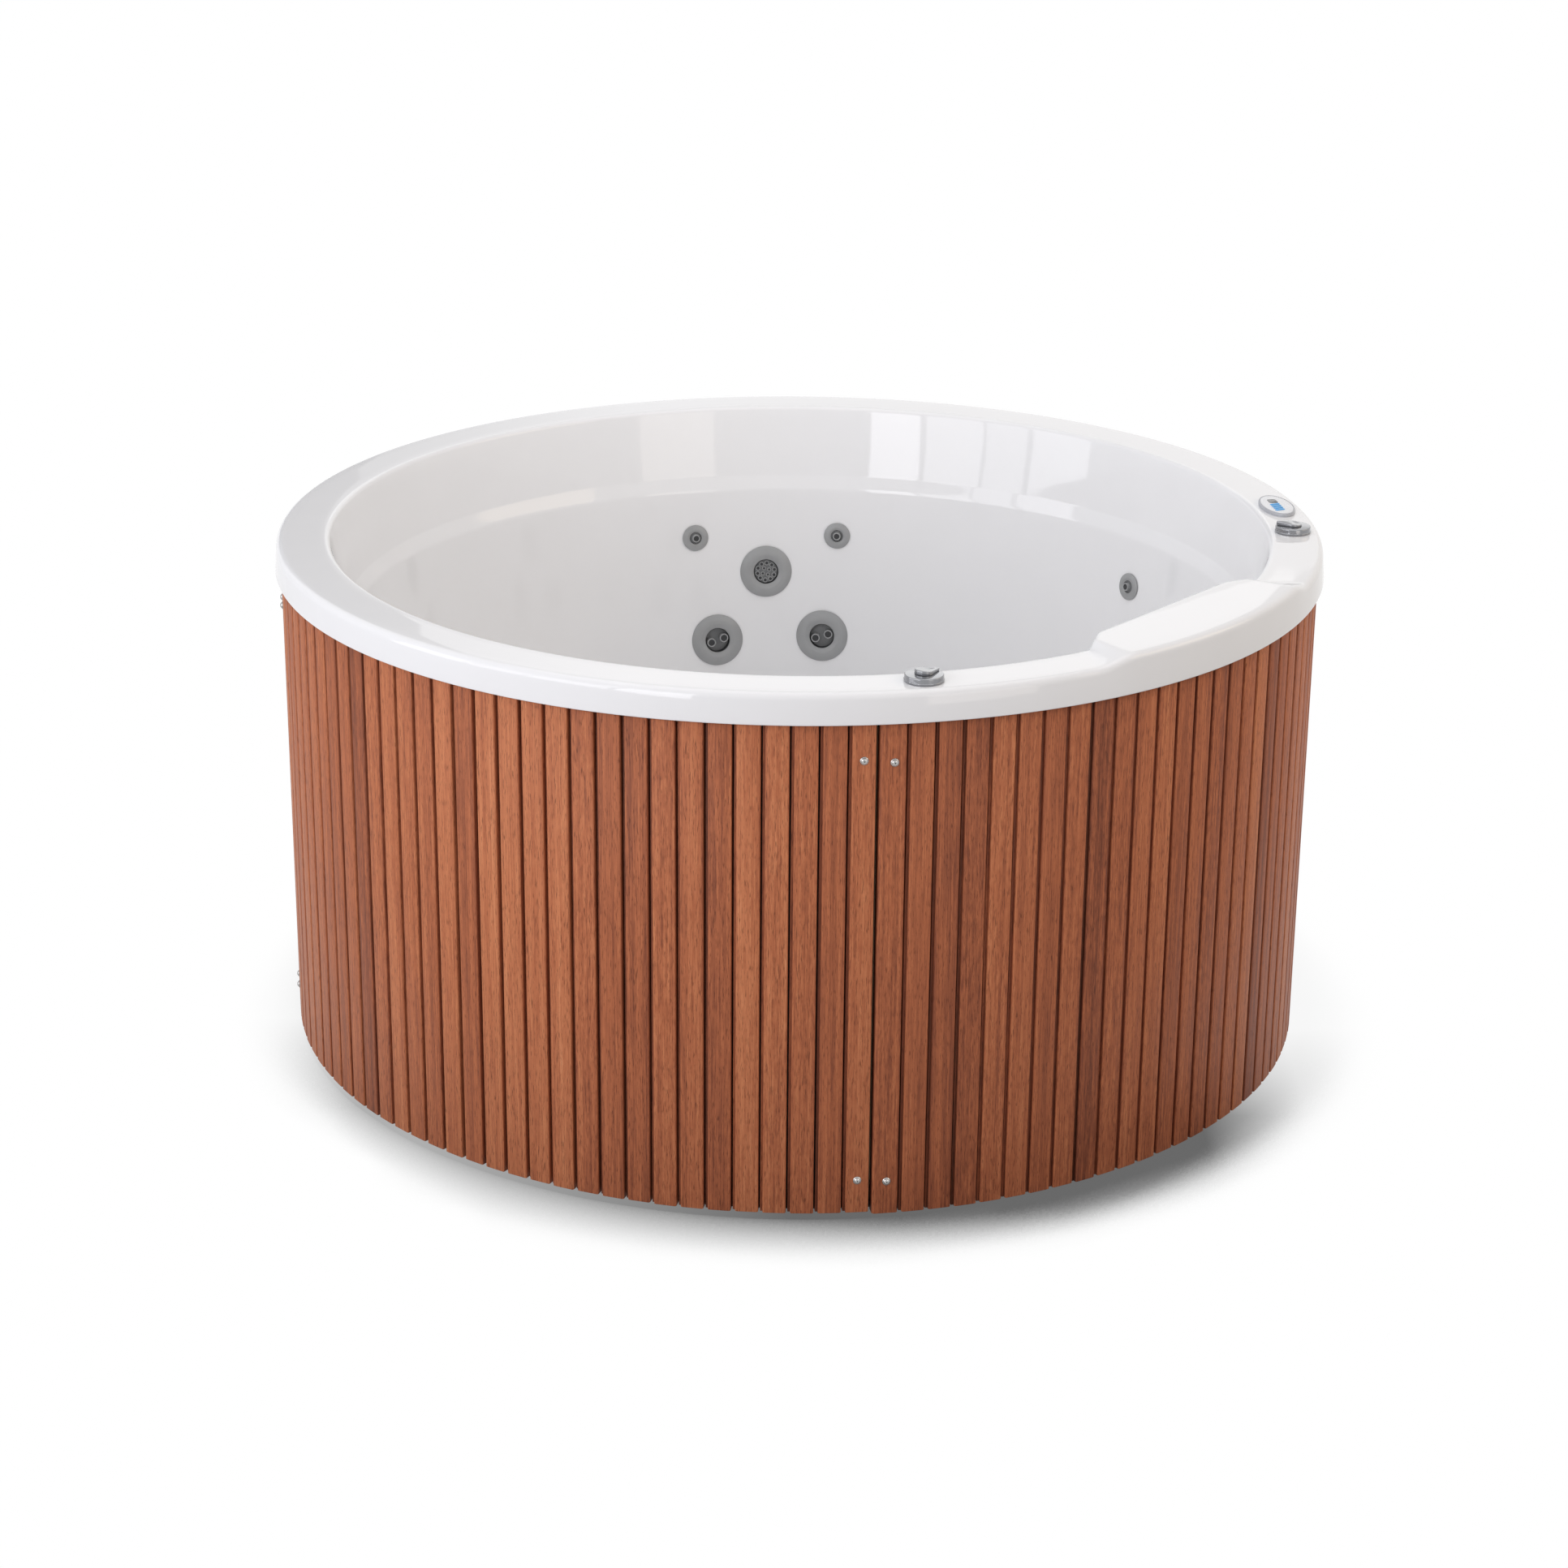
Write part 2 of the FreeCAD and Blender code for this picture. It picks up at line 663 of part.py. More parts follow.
def acrylic_shell():
    body = turned("shell_wall_body", shell_profile())
    round_ring(body, skirt_radius - skirt_draft, rim_top, rim_outer_round)
    round_ring(body, rim_inner_radius, rim_top, rim_inner_round)
    round_ring(body, seat_back_radius, seat_height, seat_back_round)
    round_ring(body, seat_back_radius + shell_wall, seat_height - shell_wall, seat_back_round + shell_wall)
    round_ring(body, seat_nose_radius, seat_nose_height, seat_nose_round)
    nose_under = seat_nose_height - shell_wall
    round_ring(body, seat_nose_radius + shell_wall, nose_under, seat_nose_round - shell_wall)
    round_ring(body, footwell_radius, footwell_floor, footwell_round)
    round_ring(body, footwell_radius + shell_wall, floor_under, footwell_round + shell_wall)
    pad = shaped("headrest_pad", rounded_headrest())
    hollow = shaped("headrest_hollow", headrest_form(shell_wall))
    raised = union("shell_with_headrest", [body, pad])
    moulded = difference("shell_moulded", raised, hollow)
    drills = [headrest_clearance()]
    reach = drill_reach
    for index, (bearing, height) in enumerate(large_jets):
        place = wall_frame(bearing, height, reach / 2)
        drills.append(cylinder(f"large_jet_hole_{index}", large_barrel_radius + fit_gap, reach, place))
    for index, (bearing, height) in enumerate(small_jets):
        place = wall_frame(bearing, height, reach / 2)
        drills.append(cylinder(f"small_jet_hole_{index}", small_barrel_radius + fit_gap, reach, place))
    for index, bearing in enumerate(suction_bearings):
        place = footwell_frame(bearing, suction_height)
        place = place.multiply(Placement(Vector(0, 0, -float(reach) / 2), Rotation()))
        drills.append(cylinder(f"suction_hole_{index}", suction_barrel_radius + fit_gap, reach, place))
    for name, bearing in (("air_valve", air_valve_bearing), ("diverter", diverter_bearing)):
        place = upright(bearing, control_circle, rim_top - reach / 2)
        drills.append(cylinder(name + "_hole", valve_stem_radius + fit_gap, reach, place))
    drills.append(panel_cutout(reach))
    return node("acrylic_shell", difference("acrylic_shell", moulded, bundle("shell_holes", drills)))


def oval(half_length, half_width, height, low=0.0):
    """A raised oval, long along local X."""
    ring = Part.Ellipse(Vector(0, 0, float(low)), float(half_length), float(half_width)).toShape()
    return Part.Face(Part.Wire([ring])).extrude(Vector(0, 0, float(height)))


def panel_place():
    return upright(panel_bearing, control_circle, rim_top)


def panel_cutout(reach):
    half_length = panel_length / 2 - panel_case_inset + fit_gap
    half_width = panel_width / 2 - panel_case_inset + fit_gap
    hole = shaped("panel_hole", oval(half_length, half_width, reach, reach * -0.5))
    hole.Placement = panel_place()
    return hole


# Cladding: tongued slats on a thin liner, four panels, screwed to the posts
slat_pitch = (90 - float(seam_gap_angle)) / float(slats_per_panel)
half_step = math.tan(math.radians(slat_pitch / 2))
slat_face = wood_radius * (2 * half_step) - slat_groove
tongue_length = slat_back * (2 * half_step) - slat_face - fit_gap * 2
slat_length = rim_under - slat_head_gap - slat_foot
end_slat_angle = float(seam_gap_angle) / 2 + slat_pitch / 2
screw_places = []
for seam in seams:
    for side in (-1, 1):
        bearing = seam + side * end_slat_angle
        sag = panel_sag if seams[1] < bearing < seams[0] else 0
        for height in (screw_low_height, screw_top_height):
            screw_places.append((bearing, height - sag))


def outward(bearing, radius, height):
    """A frame whose local Z points straight out from the tub axis."""
    return upright(bearing, radius, height).multiply(Placement(Vector(), Rotation(Vector(1, 0, 0), -90)))


def screw_drills(name, gap):
    drills = []
    for index, (bearing, height) in enumerate(screw_places):
        place = outward(bearing, wood_radius - screw_length, height)
        drills.append(cylinder(f"{name}_{index}", screw_radius + gap, screw_length + fit_gap, place))
    return bundle(name, drills)


def cladding_panel(label, seam, foot, drills):
    half = slat_face / 2
    slat = [
        (half, slat_back),
        (half, wood_radius - slat_edge),
        (half - slat_edge, wood_radius),
        (slat_edge - half, wood_radius),
        (half * -1, wood_radius - slat_edge),
        (half * -1, wood_radius - tongue_recess),
        (half * -1 - tongue_length, wood_radius - tongue_recess),
        (half * -1 - tongue_length, slat_back),
    ]
    place = Placement(Vector(0, 0, float(foot)), Rotation(Vector(0, 0, 1), end_slat_angle - seam))
    body = padded(label + "_slats", slat, slat_length, place)
    pattern = body.newObject("PartDesign::PolarPattern", label + "_round")
    pattern.Originals = [body.Group[1]]
    pattern.Axis = (origin_feature(body, "Z_Axis"), [""])
    steps = slats_per_panel - 1
    pattern.setExpression("Angle", f"(90 - sizes.seam_gap_angle) * {steps.text} / sizes.slats_per_panel")
    pattern.setExpression("Occurrences", slats_per_panel.text)
    body.Tip = pattern
    return node(label, difference(label, body, drills))


def cladding_liners(drills):
    sheets = []
    sweep = seam_gap_angle * -1 + 90
    for index, seam in enumerate(seams):
        turn = Rotation(Vector(0, 0, 1), 90 - seam + float(seam_gap_angle) / 2)
        place = Placement(Vector(0, 0, float(slat_foot)), turn)
        outer = cylinder(f"liner_outer_{index}", liner_outer, slat_length, place, sweep)
        inner = cylinder(f"liner_inner_{index}", liner_inner, slat_length, place)
        sheets.append(difference(f"liner_{index}", outer, inner))
    return node("cladding_liners", difference("cladding_liners", bundle("liner_sheets", sheets), drills))


def screws_and_washers():
    seat = washer_height
    top = washer_height + screw_head_height
    screw = turned("screw_master", [
        (0, screw_length * -1),
        (screw_radius, screw_length * -1),
        (screw_radius, seat),
        (screw_head_radius, seat),
        (screw_head_radius, seat + screw_head_side),
        (screw_head_top_radius, top),
        (0, top),
    ])
    washer = turned("washer_master", [
        (screw_radius + fit_gap, 0),
        (washer_radius, 0),
        (screw_head_radius, seat),
        (screw_radius + fit_gap, seat),
    ])
    doc.recompute()
    places = [outward(bearing, wood_radius, height) for bearing, height in screw_places]
    copies("cladding_screws", screw, places)
    copies("cladding_washers", washer, places)


def copies(label, master, places):
    """One node of separate, identical solids."""
    shapes = []
    for place in places:
        shape = master.Shape.copy()
        shape.Placement = place.multiply(shape.Placement)
        shapes.append(shape)
    return node(label, shaped(label, Part.makeCompound(shapes)))


# Frame: floor panel on feet, ring beam with spokes and hub, posts and hoop
post_face = math.sqrt(float(liner_inner) ** 2 - (float(post_width) / 2) ** 2) - float(fit_gap)
post_centre = post_face - float(post_depth) / 2
panel_post_gap = panel_case_depth + fit_gap


def frame():
    feet = []
    for index, bearing in enumerate(post_bearings):
        place = upright(bearing, foot_circle, 0)
        feet.append(block(f"foot_{index}", foot_length, foot_width, foot_height, place))
    node("support_feet", bundle("support_feet", feet))
    tray_place = Placement(Vector(0, 0, float(tray_under)), Rotation())
    node("base_tray", cylinder("base_tray", liner_inner - fit_gap, tray_thickness, tray_place))
    beam_place = Placement(Vector(0, 0, float(tray_top)), Rotation())
    outer = cylinder("beam_outer", beam_outer, beam_height, beam_place)
    inner = cylinder("beam_inner", beam_outer - beam_width, beam_height, beam_place)
    hub = cylinder("beam_hub", hub_radius, floor_under - tray_top, beam_place)
    members = [difference("beam_ring", outer, inner), hub]
    span = beam_outer - beam_width / 2 - hub_radius / 2
    for index, bearing in enumerate(post_bearings[1::2]):
        place = upright(bearing, hub_radius / 2 + span / 2, tray_top)
        members.append(block(f"beam_spoke_{index}", spoke_width, span, beam_height, place))
    node("base_frame", union("base_frame", members))
    pilots = screw_drills("post_pilots", running_gap)
    posts = []
    for index, bearing in enumerate(post_bearings):
        length = rim_under - beam_top
        if abs(bearing - float(panel_bearing)) < math.degrees(float(panel_length) / float(control_circle)):
            length = rim_top - panel_post_gap - beam_top
        place = upright(bearing, post_centre, beam_top)
        posts.append(block(f"post_{index}", post_width, post_depth, length, place))
    node("frame_posts", difference("frame_posts", bundle("post_set", posts), pilots))
    hoop_outer = post_face - float(post_depth) - float(fit_gap)
    hoop_place = Placement(Vector(0, 0, float(hoop_top) - float(hoop_height)), Rotation())
    rim = cylinder("hoop_outer", hoop_outer, hoop_height, hoop_place)
    core = cylinder("hoop_inner", hoop_outer - float(hoop_thickness), hoop_height, hoop_place)
    node("upper_hoop", difference("upper_hoop", rim, core))


# Controls: two rim valves with levers, and the oval control panel
def valve_body(label, bearing, ports):
    """A rim valve: round face on the rim, stem below it, socket for its lever."""
    socket = valve_face_height - lever_socket_depth
    place = upright(bearing, control_circle, rim_top)
    body = turned(label + "_body_turned", [
        (0, valve_stem_length * -1),
        (valve_stem_radius, valve_stem_length * -1),
        (valve_stem_radius, 0),
        (valve_face_radius, 0),
        (valve_face_radius, valve_face_height),
        (lever_pivot_radius + fit_gap, valve_face_height),
        (lever_pivot_radius + fit_gap, socket),
        (0, socket),
    ])
    round_ring(body, valve_face_radius, valve_face_height, valve_shoulder)
    pieces = [body]
    for index, side in enumerate(ports):
        turn = Placement(Vector(0, 0, -float(valve_port_drop)), Rotation(Vector(0, 1, 0), 90 * side))
        pieces.append(cylinder(f"{label}_port_{index}", pipe_radius, valve_port_reach, turn))
    whole = union(label + "_body", pieces) if ports else body
    whole.Placement = place
    return node(label + "_body", whole)


def lever(label, bearing, turn):
    """A teardrop lever, highest at its hub, whose nose points at the tub axis until it is turned."""
    reach = float(lever_reach) - float(lever_round)
    lean = math.acos((float(lever_hub_radius) - float(lever_round)) / reach)
    hub_side = Vector(math.sin(lean), -math.cos(lean), 0)
    other_side = Vector(-math.sin(lean), -math.cos(lean), 0)
    tip = Vector(0, -reach, 0)
    hub_points = (hub_side * float(lever_hub_radius), other_side * float(lever_hub_radius))
    tip_points = (tip + hub_side * float(lever_round), tip + other_side * float(lever_round))
    edges = [
        Part.Arc(hub_points[0], Vector(0, float(lever_hub_radius), 0), hub_points[1]),
        Part.LineSegment(hub_points[1], tip_points[1]),
        Part.Arc(tip_points[1], tip + Vector(0, -float(lever_round), 0), tip_points[0]),
        Part.LineSegment(tip_points[0], hub_points[0]),
    ]
    floor = Vector(0, 0, float(valve_face_height) + float(fit_gap))
    outline_wire = Part.Wire([edge.toShape() for edge in edges])
    solid = Part.Face(outline_wire).extrude(Vector(0, 0, float(lever_height)))
    slope = math.degrees(math.atan2(float(lever_nose_drop), float(lever_reach)))
    wide = float(lever_reach) * 4
    sky = Part.makeBox(wide, wide, wide, Vector(-wide / 2, -wide, 0))
    sky.rotate(Vector(), Vector(1, 0, 0), slope)
    sky.translate(Vector(0, 0, float(lever_height)))
    solid = solid.cut(sky)
    edges = [edge for edge in solid.Edges if all(vertex.Z > tolerance for vertex in edge.Vertexes)]
    solid = solid.makeFillet(float(lever_edge), edges)
    solid.translate(floor)
    pin_foot = Vector(0, 0, float(valve_face_height) - float(lever_socket_depth) + float(fit_gap))
    pin = post(pin_foot, floor + Vector(0, 0, float(fit_gap)), lever_pivot_radius)
    item = shaped(label, solid.fuse(pin).removeSplitter())
    swing = Placement(Vector(), Rotation(Vector(0, 0, 1), float(turn)))
    item.Placement = upright(bearing, control_circle, rim_top).multiply(swing)
    return node(label, item)


def key_frame(index):
    """Place of one key on the panel, slanted across its length."""
    along = float(key_first_offset) + index * float(key_pitch)
    turn = Rotation(Vector(0, 0, 1), float(key_slant))
    return Placement(Vector(along, float(key_shift), 0), turn)


def control_panel():
    half_length = float(panel_length) / 2
    half_width = float(panel_width) / 2
    bezel = float(panel_bezel)
    top = float(panel_case_height)
    seat = top - float(fascia_thickness)
    inset = float(panel_case_inset)
    gap = float(fit_gap)
    case = oval(half_length, half_width, panel_case_height)
    case = case.fuse(oval(half_length - inset, half_width - inset, panel_case_depth, panel_case_depth * -1))
    case = case.cut(oval(half_length - bezel, half_width - bezel, fascia_thickness, seat)).removeSplitter()
    fascia = oval(half_length - bezel - gap, half_width - bezel - gap, fascia_thickness, seat)
    left = float(display_offset) - float(display_length) / 2
    near = float(display_shift) - float(display_width) / 2
    corner = Vector(left, near, seat)
    display = Part.makeBox(float(display_length), float(display_width), float(fascia_thickness) + gap, corner)
    window = Part.makeBox(
        float(display_length) + 2 * gap, float(display_width) + 2 * gap, top, corner - Vector(gap, gap, 0)
    )
    fascia = fascia.cut(window)
    place = panel_place()
    for index in range(key_count):
        lift = seat + float(key_travel) + gap
        cap = top + float(key_height)
        low = Vector(-float(key_width) / 2, -float(key_length) / 2, lift)
        bar = Part.makeBox(float(key_width), float(key_length), cap - lift, low)
        well = Part.makeBox(
            float(key_width) + 2 * gap, float(key_length) + 2 * gap, top, low - Vector(gap, gap, lift - seat)
        )
        well.Placement = key_frame(index)
        fascia = fascia.cut(well)
        key = shaped(f"panel_key_{index + 1}", bar)
        key.Placement = place.multiply(key_frame(index))
        node(f"panel_key_{index + 1}", key)
    for label, shape in (
        ("control_panel_case", case),
        ("control_panel_fascia", fascia),
        ("control_panel_display", display),
    ):
        item = shaped(label, shape)
        item.Placement = place
        node(label, item)


# Jets: wall bodies with gasket and nut, dished faces, and the parts that turn
flange_top = jet_gasket + jet_flange_thickness


def jet_sleeve(bearing, height, radius, bore, low, high):
    """A ring square to the seat back between two distances from the wall."""
    ring = sleeve(Vector(0, 0, float(low)), Vector(0, 0, float(high)), radius, bore)
    ring.Placement = wall_frame(bearing, height)
    return ring


def axis_point(bearing, height, circle):
    """The point of a jet's axis above a circle in plan."""
    depth = (float(circle) - wall_radius(height)) / math.cos(draft_angle)
    return around(bearing, circle, float(height) - depth * math.sin(draft_angle))


def jet_ports(kind):
    """Water and air ports of one kind of jet: circle, direction and pipe to reach."""
    air_up = (air_circle, 1, air_upper_height, air_hose_radius, air_hose_bore)
    air_down = (manifold_circle, -1, air_lower_height, air_hose_radius, air_hose_bore)
    water_up = (manifold_circle, 1, manifold_height, hose_radius, hose_bore)
    water_down = (manifold_circle, -1, manifold_height, hose_radius, hose_bore)
    return (water_up, air_down) if kind == "twin" else (water_down, air_up)


def jet_lines():
    """Stubs and hoses between the jets and the water and air rings."""
    lines = {"jet_stub": {}, "water_hose": [], "air_hose": [], "water_port": [], "air_port": []}
    kinds = (("small", small_jets), ("cluster", cluster_jets), ("twin", twin_jets))
    for kind, jets in kinds:
        barrel = small_barrel_radius if kind == "small" else large_barrel_radius
        for bearing, height in jets:
            stubs = []
            for use, port in zip(("water", "air"), jet_ports(kind)):
                circle, side, level, radius, bore = port
                root = axis_point(bearing, height, circle)
                rise = side * (float(barrel) / math.cos(draft_angle) + float(port_length))
                end = root + Vector(0, 0, rise)
                stubs.append(post(root, end, radius))
                ring = around(bearing, circle, level)
                pipe = manifold_radius if use == "water" else air_pipe_radius
                mouth = ring - Vector(0, 0, side * (float(pipe) + float(port_length)))
                lines[use + "_port"].append(post(ring, mouth, radius))
                lines[use + "_hose"].append(sleeve(end, mouth, radius, bore))
            lines["jet_stub"][(bearing, height)] = stubs
    return lines


def jet_bodies(label, jets, barrel, length, flange, throat, depth, shaft, lines):
    """Wall fittings pushed through the shell, each with its water and air stub."""
    corners = [
        (0, length * -1),
        (barrel, length * -1),
        (barrel, jet_gasket),
        (flange, jet_gasket),
        (flange, flange_top),
        (throat, flange_top),
        (throat, depth * -1),
    ]
    if shaft:
        bore = rotor_shaft_radius + running_gap
        floor = depth * -1 - rotor_shaft_length - fit_gap
        corners += [(bore, depth * -1), (bore, floor), (0, floor)]
    else:
        corners += [(0, depth * -1)]
    master = turned(label + "_master", corners)
    doc.recompute()
    shapes = []
    for jet in jets:
        shape = master.Shape.copy()
        shape.Placement = wall_frame(*jet)
        shapes.append(shape.fuse(lines["jet_stub"][jet]).removeSplitter())
    return node(label, shaped(label, Part.makeCompound(shapes)))


def jet_faces(label, jets, radius, height, crown, flange, throat):
    """Dished escutcheons that cover the flanges."""
    shoulder = radius - (radius - crown) / 3
    master = turned(label + "_master", [
        (throat, flange_top),
        (flange + fit_gap, flange_top),
        (flange + fit_gap, jet_gasket),
        (radius, jet_gasket),
        (radius, jet_gasket + jet_face_lip),
        (shoulder, height - jet_face_lip),
        (crown, height),
        (throat, flange_top + jet_face_lip),
    ])
    doc.recompute()
    return copies(label, master, [wall_frame(*jet) for jet in jets])


def gaskets_and_nuts():
    """Seals and lock nuts, each cut to the curve of the wall it clamps."""
    gaskets = []
    nuts = []
    rows = (
        (small_jets, small_barrel_radius, small_flange_radius),
        (large_jets, large_barrel_radius, large_flange_radius),
    )
    wall = shell.Shape
    for jets, barrel, flange in rows:
        bore = barrel + fit_gap
        nut_low = (shell_wall + jet_nut_thickness) * -1
        for jet in jets:
            inward = wall_frame(*jet).Rotation.multVec(Vector(0, 0, float(seat_gap)))
            ring = jet_sleeve(*jet, flange, bore, jet_gasket * -1, jet_gasket - seat_gap).cut(wall)
            ring.translate(inward)
            gaskets.append(ring)
            ring = jet_sleeve(*jet, barrel + jet_nut_rim, bore, nut_low, shell_wall * -0.5).cut(wall)
            ring.translate(inward * -1)
            nuts.append(ring)
    node("jet_gaskets", shaped("jet_gaskets", Part.makeCompound(gaskets)))
    node("jet_nuts", shaped("jet_nuts", Part.makeCompound(nuts)))


def small_nozzle(label, jet):
    """A swivelling nozzle: a ball in the jet's throat with a tube standing out of it."""
    ball_radius = small_throat_radius - fit_gap
    ball = doc.addObject("Part::Sphere", label + "_ball")
    bind(ball, "Radius", ball_radius)
    bind(ball, "Angle1", nozzle_ball_angle * -1)
    bind(ball, "Angle2", nozzle_ball_angle)
    root = Placement(Vector(0, 0, -float(ball_radius) / 2), Rotation())
    tube = cylinder(label + "_tube", nozzle_radius, ball_radius / 2 + flange_top + nozzle_stand, root)
    through = Placement(Vector(0, 0, -float(ball_radius)), Rotation())
    bore = cylinder(label + "_bore", nozzle_bore, ball_radius * 2 + flange_top + nozzle_stand, through)
    item = difference(label, union(label + "_solid", [ball, tube]), bore)
    item.Placement = wall_frame(*jet)
    return node(label, item)


def drum(label, top):
    """A disc on a shaft that turns in a large jet's throat."""
    foot = top - rotor_thickness
    end = large_chamber_depth * -1 - rotor_shaft_length
    return turned(label + "_drum", [
        (0, end),
        (rotor_shaft_radius, end),
        (rotor_shaft_radius, foot),
        (large_throat_radius - fit_gap, foot),
        (large_throat_radius - fit_gap, top),
        (0, top),
    ])


def twin_rotor(label, jet):
    """A rotor with two nozzle tubes, free to spin in the jet's throat."""
    top = flange_top - rotor_recess
    foot = top - rotor_thickness
    tilt = math.radians(float(twin_tube_tilt))
    reach = float(twin_tube_offset)
    tubes = []
    bores = []
    for index, side in enumerate((-1, 1)):
        spot = Vector(side * reach * math.cos(tilt), side * reach * math.sin(tilt), 0)
        root = Placement(spot + Vector(0, 0, float(foot)), Rotation())
        height = rotor_thickness + twin_tube_stand
        tubes.append(cylinder(f"{label}_tube_{index}", twin_tube_radius, height, root))
        bores.append(cylinder(f"{label}_bore_{index}", twin_tube_bore, height, root))
    whole = union(label + "_solid", [drum(label, top)] + tubes)
    item = difference(label, whole, bundle(label + "_bores", bores))
    item.Placement = wall_frame(*jet)
    return node(label, item)


def cluster_insert(label, jet):
    """A throttling insert pierced by an outer and an inner ring of small jets."""
    top = flange_top - insert_recess
    foot = float(top) - float(rotor_thickness)
    holes = []
    for holes_in_ring, circle in (
        (cluster_outer_holes, cluster_outer_ring),
        (cluster_inner_holes, cluster_inner_ring),
    ):
        count = round(float(holes_in_ring))
        for index in range(count):
            angle = 2 * math.pi * index / count
            spot = Vector(float(circle) * math.cos(angle), float(circle) * math.sin(angle), foot)
            name = f"{label}_hole_{count}_{index}"
            holes.append(cylinder(name, cluster_hole_radius, rotor_thickness, Placement(spot, Rotation())))
    item = difference(label, drum(label, top), bundle(label + "_holes", holes))
    item.Placement = wall_frame(*jet)
    return node(label, item)


def jets(lines):
    jet_bodies(
        "large_jet_bodies", large_jets, large_barrel_radius, large_barrel_length, large_flange_radius,
        large_throat_radius, large_chamber_depth, True, lines,
    )
    jet_bodies(
        "small_jet_bodies", small_jets, small_barrel_radius, small_barrel_length, small_flange_radius,
        small_throat_radius, small_chamber_depth, False, lines,
    )
    jet_faces(
        "large_jet_faces", large_jets, large_face_radius, large_face_height, large_face_crown,
        large_flange_radius, large_throat_radius,
    )
    jet_faces(
        "small_jet_faces", small_jets, small_face_radius, small_face_height, small_face_crown,
        small_flange_radius, small_throat_radius,
    )
    gaskets_and_nuts()
    for index, jet in enumerate(small_jets):
        small_nozzle(f"small_jet_nozzle_{index + 1}", jet)
    for index, jet in enumerate(twin_jets):
        twin_rotor(f"twin_jet_rotor_{index + 1}", jet)
    for index, jet in enumerate(cluster_jets):
        cluster_insert(f"cluster_jet_insert_{index + 1}", jet)


# Plumbing: suctions, filter, pump, heater and the pipes that join them
def lying(frame_place, offset):
    """A frame at an offset along local X whose own Z lies along local X."""
    turn = Rotation(Vector(0, 1, 0), 90)
    return frame_place.multiply(Placement(Vector(float(offset), 0, 0), turn))


def shifted(frame_place, x, y, z):
    return frame_place.multiply(Placement(Vector(float(x), float(y), float(z)), Rotation()))


def suctions():
    wall = shell.Shape
    level = Vector(0, 0, 1)
    hole = suction_barrel_radius + fit_gap
    rim = suction_barrel_radius + jet_nut_rim
    collar_low = level * -(float(shell_wall) + float(suction_collar))
    web_top = level * -(float(shell_wall) + float(suction_web_drop))
    barrel_end = level * -float(suction_barrel_length)
    bore_end = level * -(float(suction_barrel_length) - float(shell_wall))
    flange_face = level * float(suction_flange)
    fittings = []
    for bearing in suction_bearings:
        relief = sleeve(Vector(), level * float(suction_relief), hole + fit_gap, suction_barrel_radius)
        flange = post(Vector(), flange_face, suction_flange_radius).cut(relief)
        collar = sleeve(collar_low, level * -(float(shell_wall) / 2), rim, hole)
        web = post(collar_low, web_top, rim)
        clamped = []
        for ring, side in ((flange, 1), (collar, -1), (web, -1)):
            ring.Placement = footwell_frame(bearing, suction_height)
            seat = wall.copy()
            seat.translate(ring.Placement.Rotation.multVec(level * (side * float(seat_gap))))
            clamped.append(ring.cut(seat))
        barrel = post(barrel_end, flange_face, suction_barrel_radius)
        barrel.Placement = footwell_frame(bearing, suction_height)
        mouth = around(bearing, suction_port_circle, suction_port_height)
        inner = around(bearing, suction_port_circle - suction_barrel_radius, suction_port_height)
        stub = post(inner, mouth, pipe_radius)
        whole = barrel.fuse(clamped + [stub])
        bore = post(bore_end, flange_face, suction_bore)
        bore.Placement = footwell_frame(bearing, suction_height)
        fittings.append(whole.cut(bore).removeSplitter())
    node("suction_fittings", shaped("suction_fittings", Part.makeCompound(fittings)))
    dome = suction_flange + cover_height
    cap = turned("suction_cap", [
        (0, dome - cover_lip),
        (cover_dome_radius, dome - cover_lip),
        (suction_flange_radius - cover_lip, suction_flange),
        (cover_radius, suction_flange),
        (cover_radius, suction_flange + cover_lip),
        (cover_dome_radius, dome),
        (0, dome),
    ])
    slots = []
    slot_count = round(float(cover_slot_count))
    for index in range(slot_count):
        offset = (index - (slot_count - 1) / 2) * float(cover_slot_pitch)
        place = shifted(Placement(), offset, 0, suction_flange)
        cut = block(f"cover_slot_{index}", cover_slot_width, cover_slot_length, cover_height * 2, place)
        slots.append(cut)
    grille = difference("suction_grille", cap, bundle("cover_slots", slots))
    doc.recompute()
    places = [footwell_frame(bearing, suction_height) for bearing in suction_bearings]
    copies("suction_covers", grille, places)


def pump():
    axle = upright(pump_bearing, pump_circle, pump_axis_height)
    floor = upright(pump_bearing, pump_circle, tray_top)
    motor = cylinder("motor_can", motor_radius, motor_length, lying(axle, motor_offset))
    seat = shifted(floor, motor_offset + motor_length / 2, 0, 0)
    rise = pump_axis_height - tray_top
    cradle = block("motor_cradle", cradle_length, cradle_width, rise, seat)
    node("pump_motor", union("pump_motor", [motor, cradle]))
    volute_start = motor_offset - volute_length
    volute = cylinder("volute", volute_radius, volute_length, lying(axle, volute_start))
    inlet_place = lying(axle, volute_start - pump_port_length)
    inlet = cylinder("pump_inlet", pump_port_radius, pump_port_length, inlet_place)
    outlet_place = shifted(axle, volute_start + volute_length / 2, 0, 0)
    outlet = cylinder("pump_outlet", pump_port_radius, pump_outlet_rise, outlet_place)
    node("pump_wet_end", union("pump_wet_end", [volute, inlet, outlet]))


def heater():
    place = upright(pump_bearing, heater_circle, heater_height)
    floor = upright(pump_bearing, heater_circle, tray_top)
    members = [cylinder("heater_can", heater_radius, heater_length, lying(place, heater_length * -0.5))]
    rise = heater_height - tray_top
    for index, side in enumerate((-1, 1)):
        seat = shifted(floor, heater_leg_offset * side, 0, 0)
        members.append(block(f"heater_leg_{index}", heater_leg, heater_radius, rise, seat))
    node("heater_tube", union("heater_tube", members))


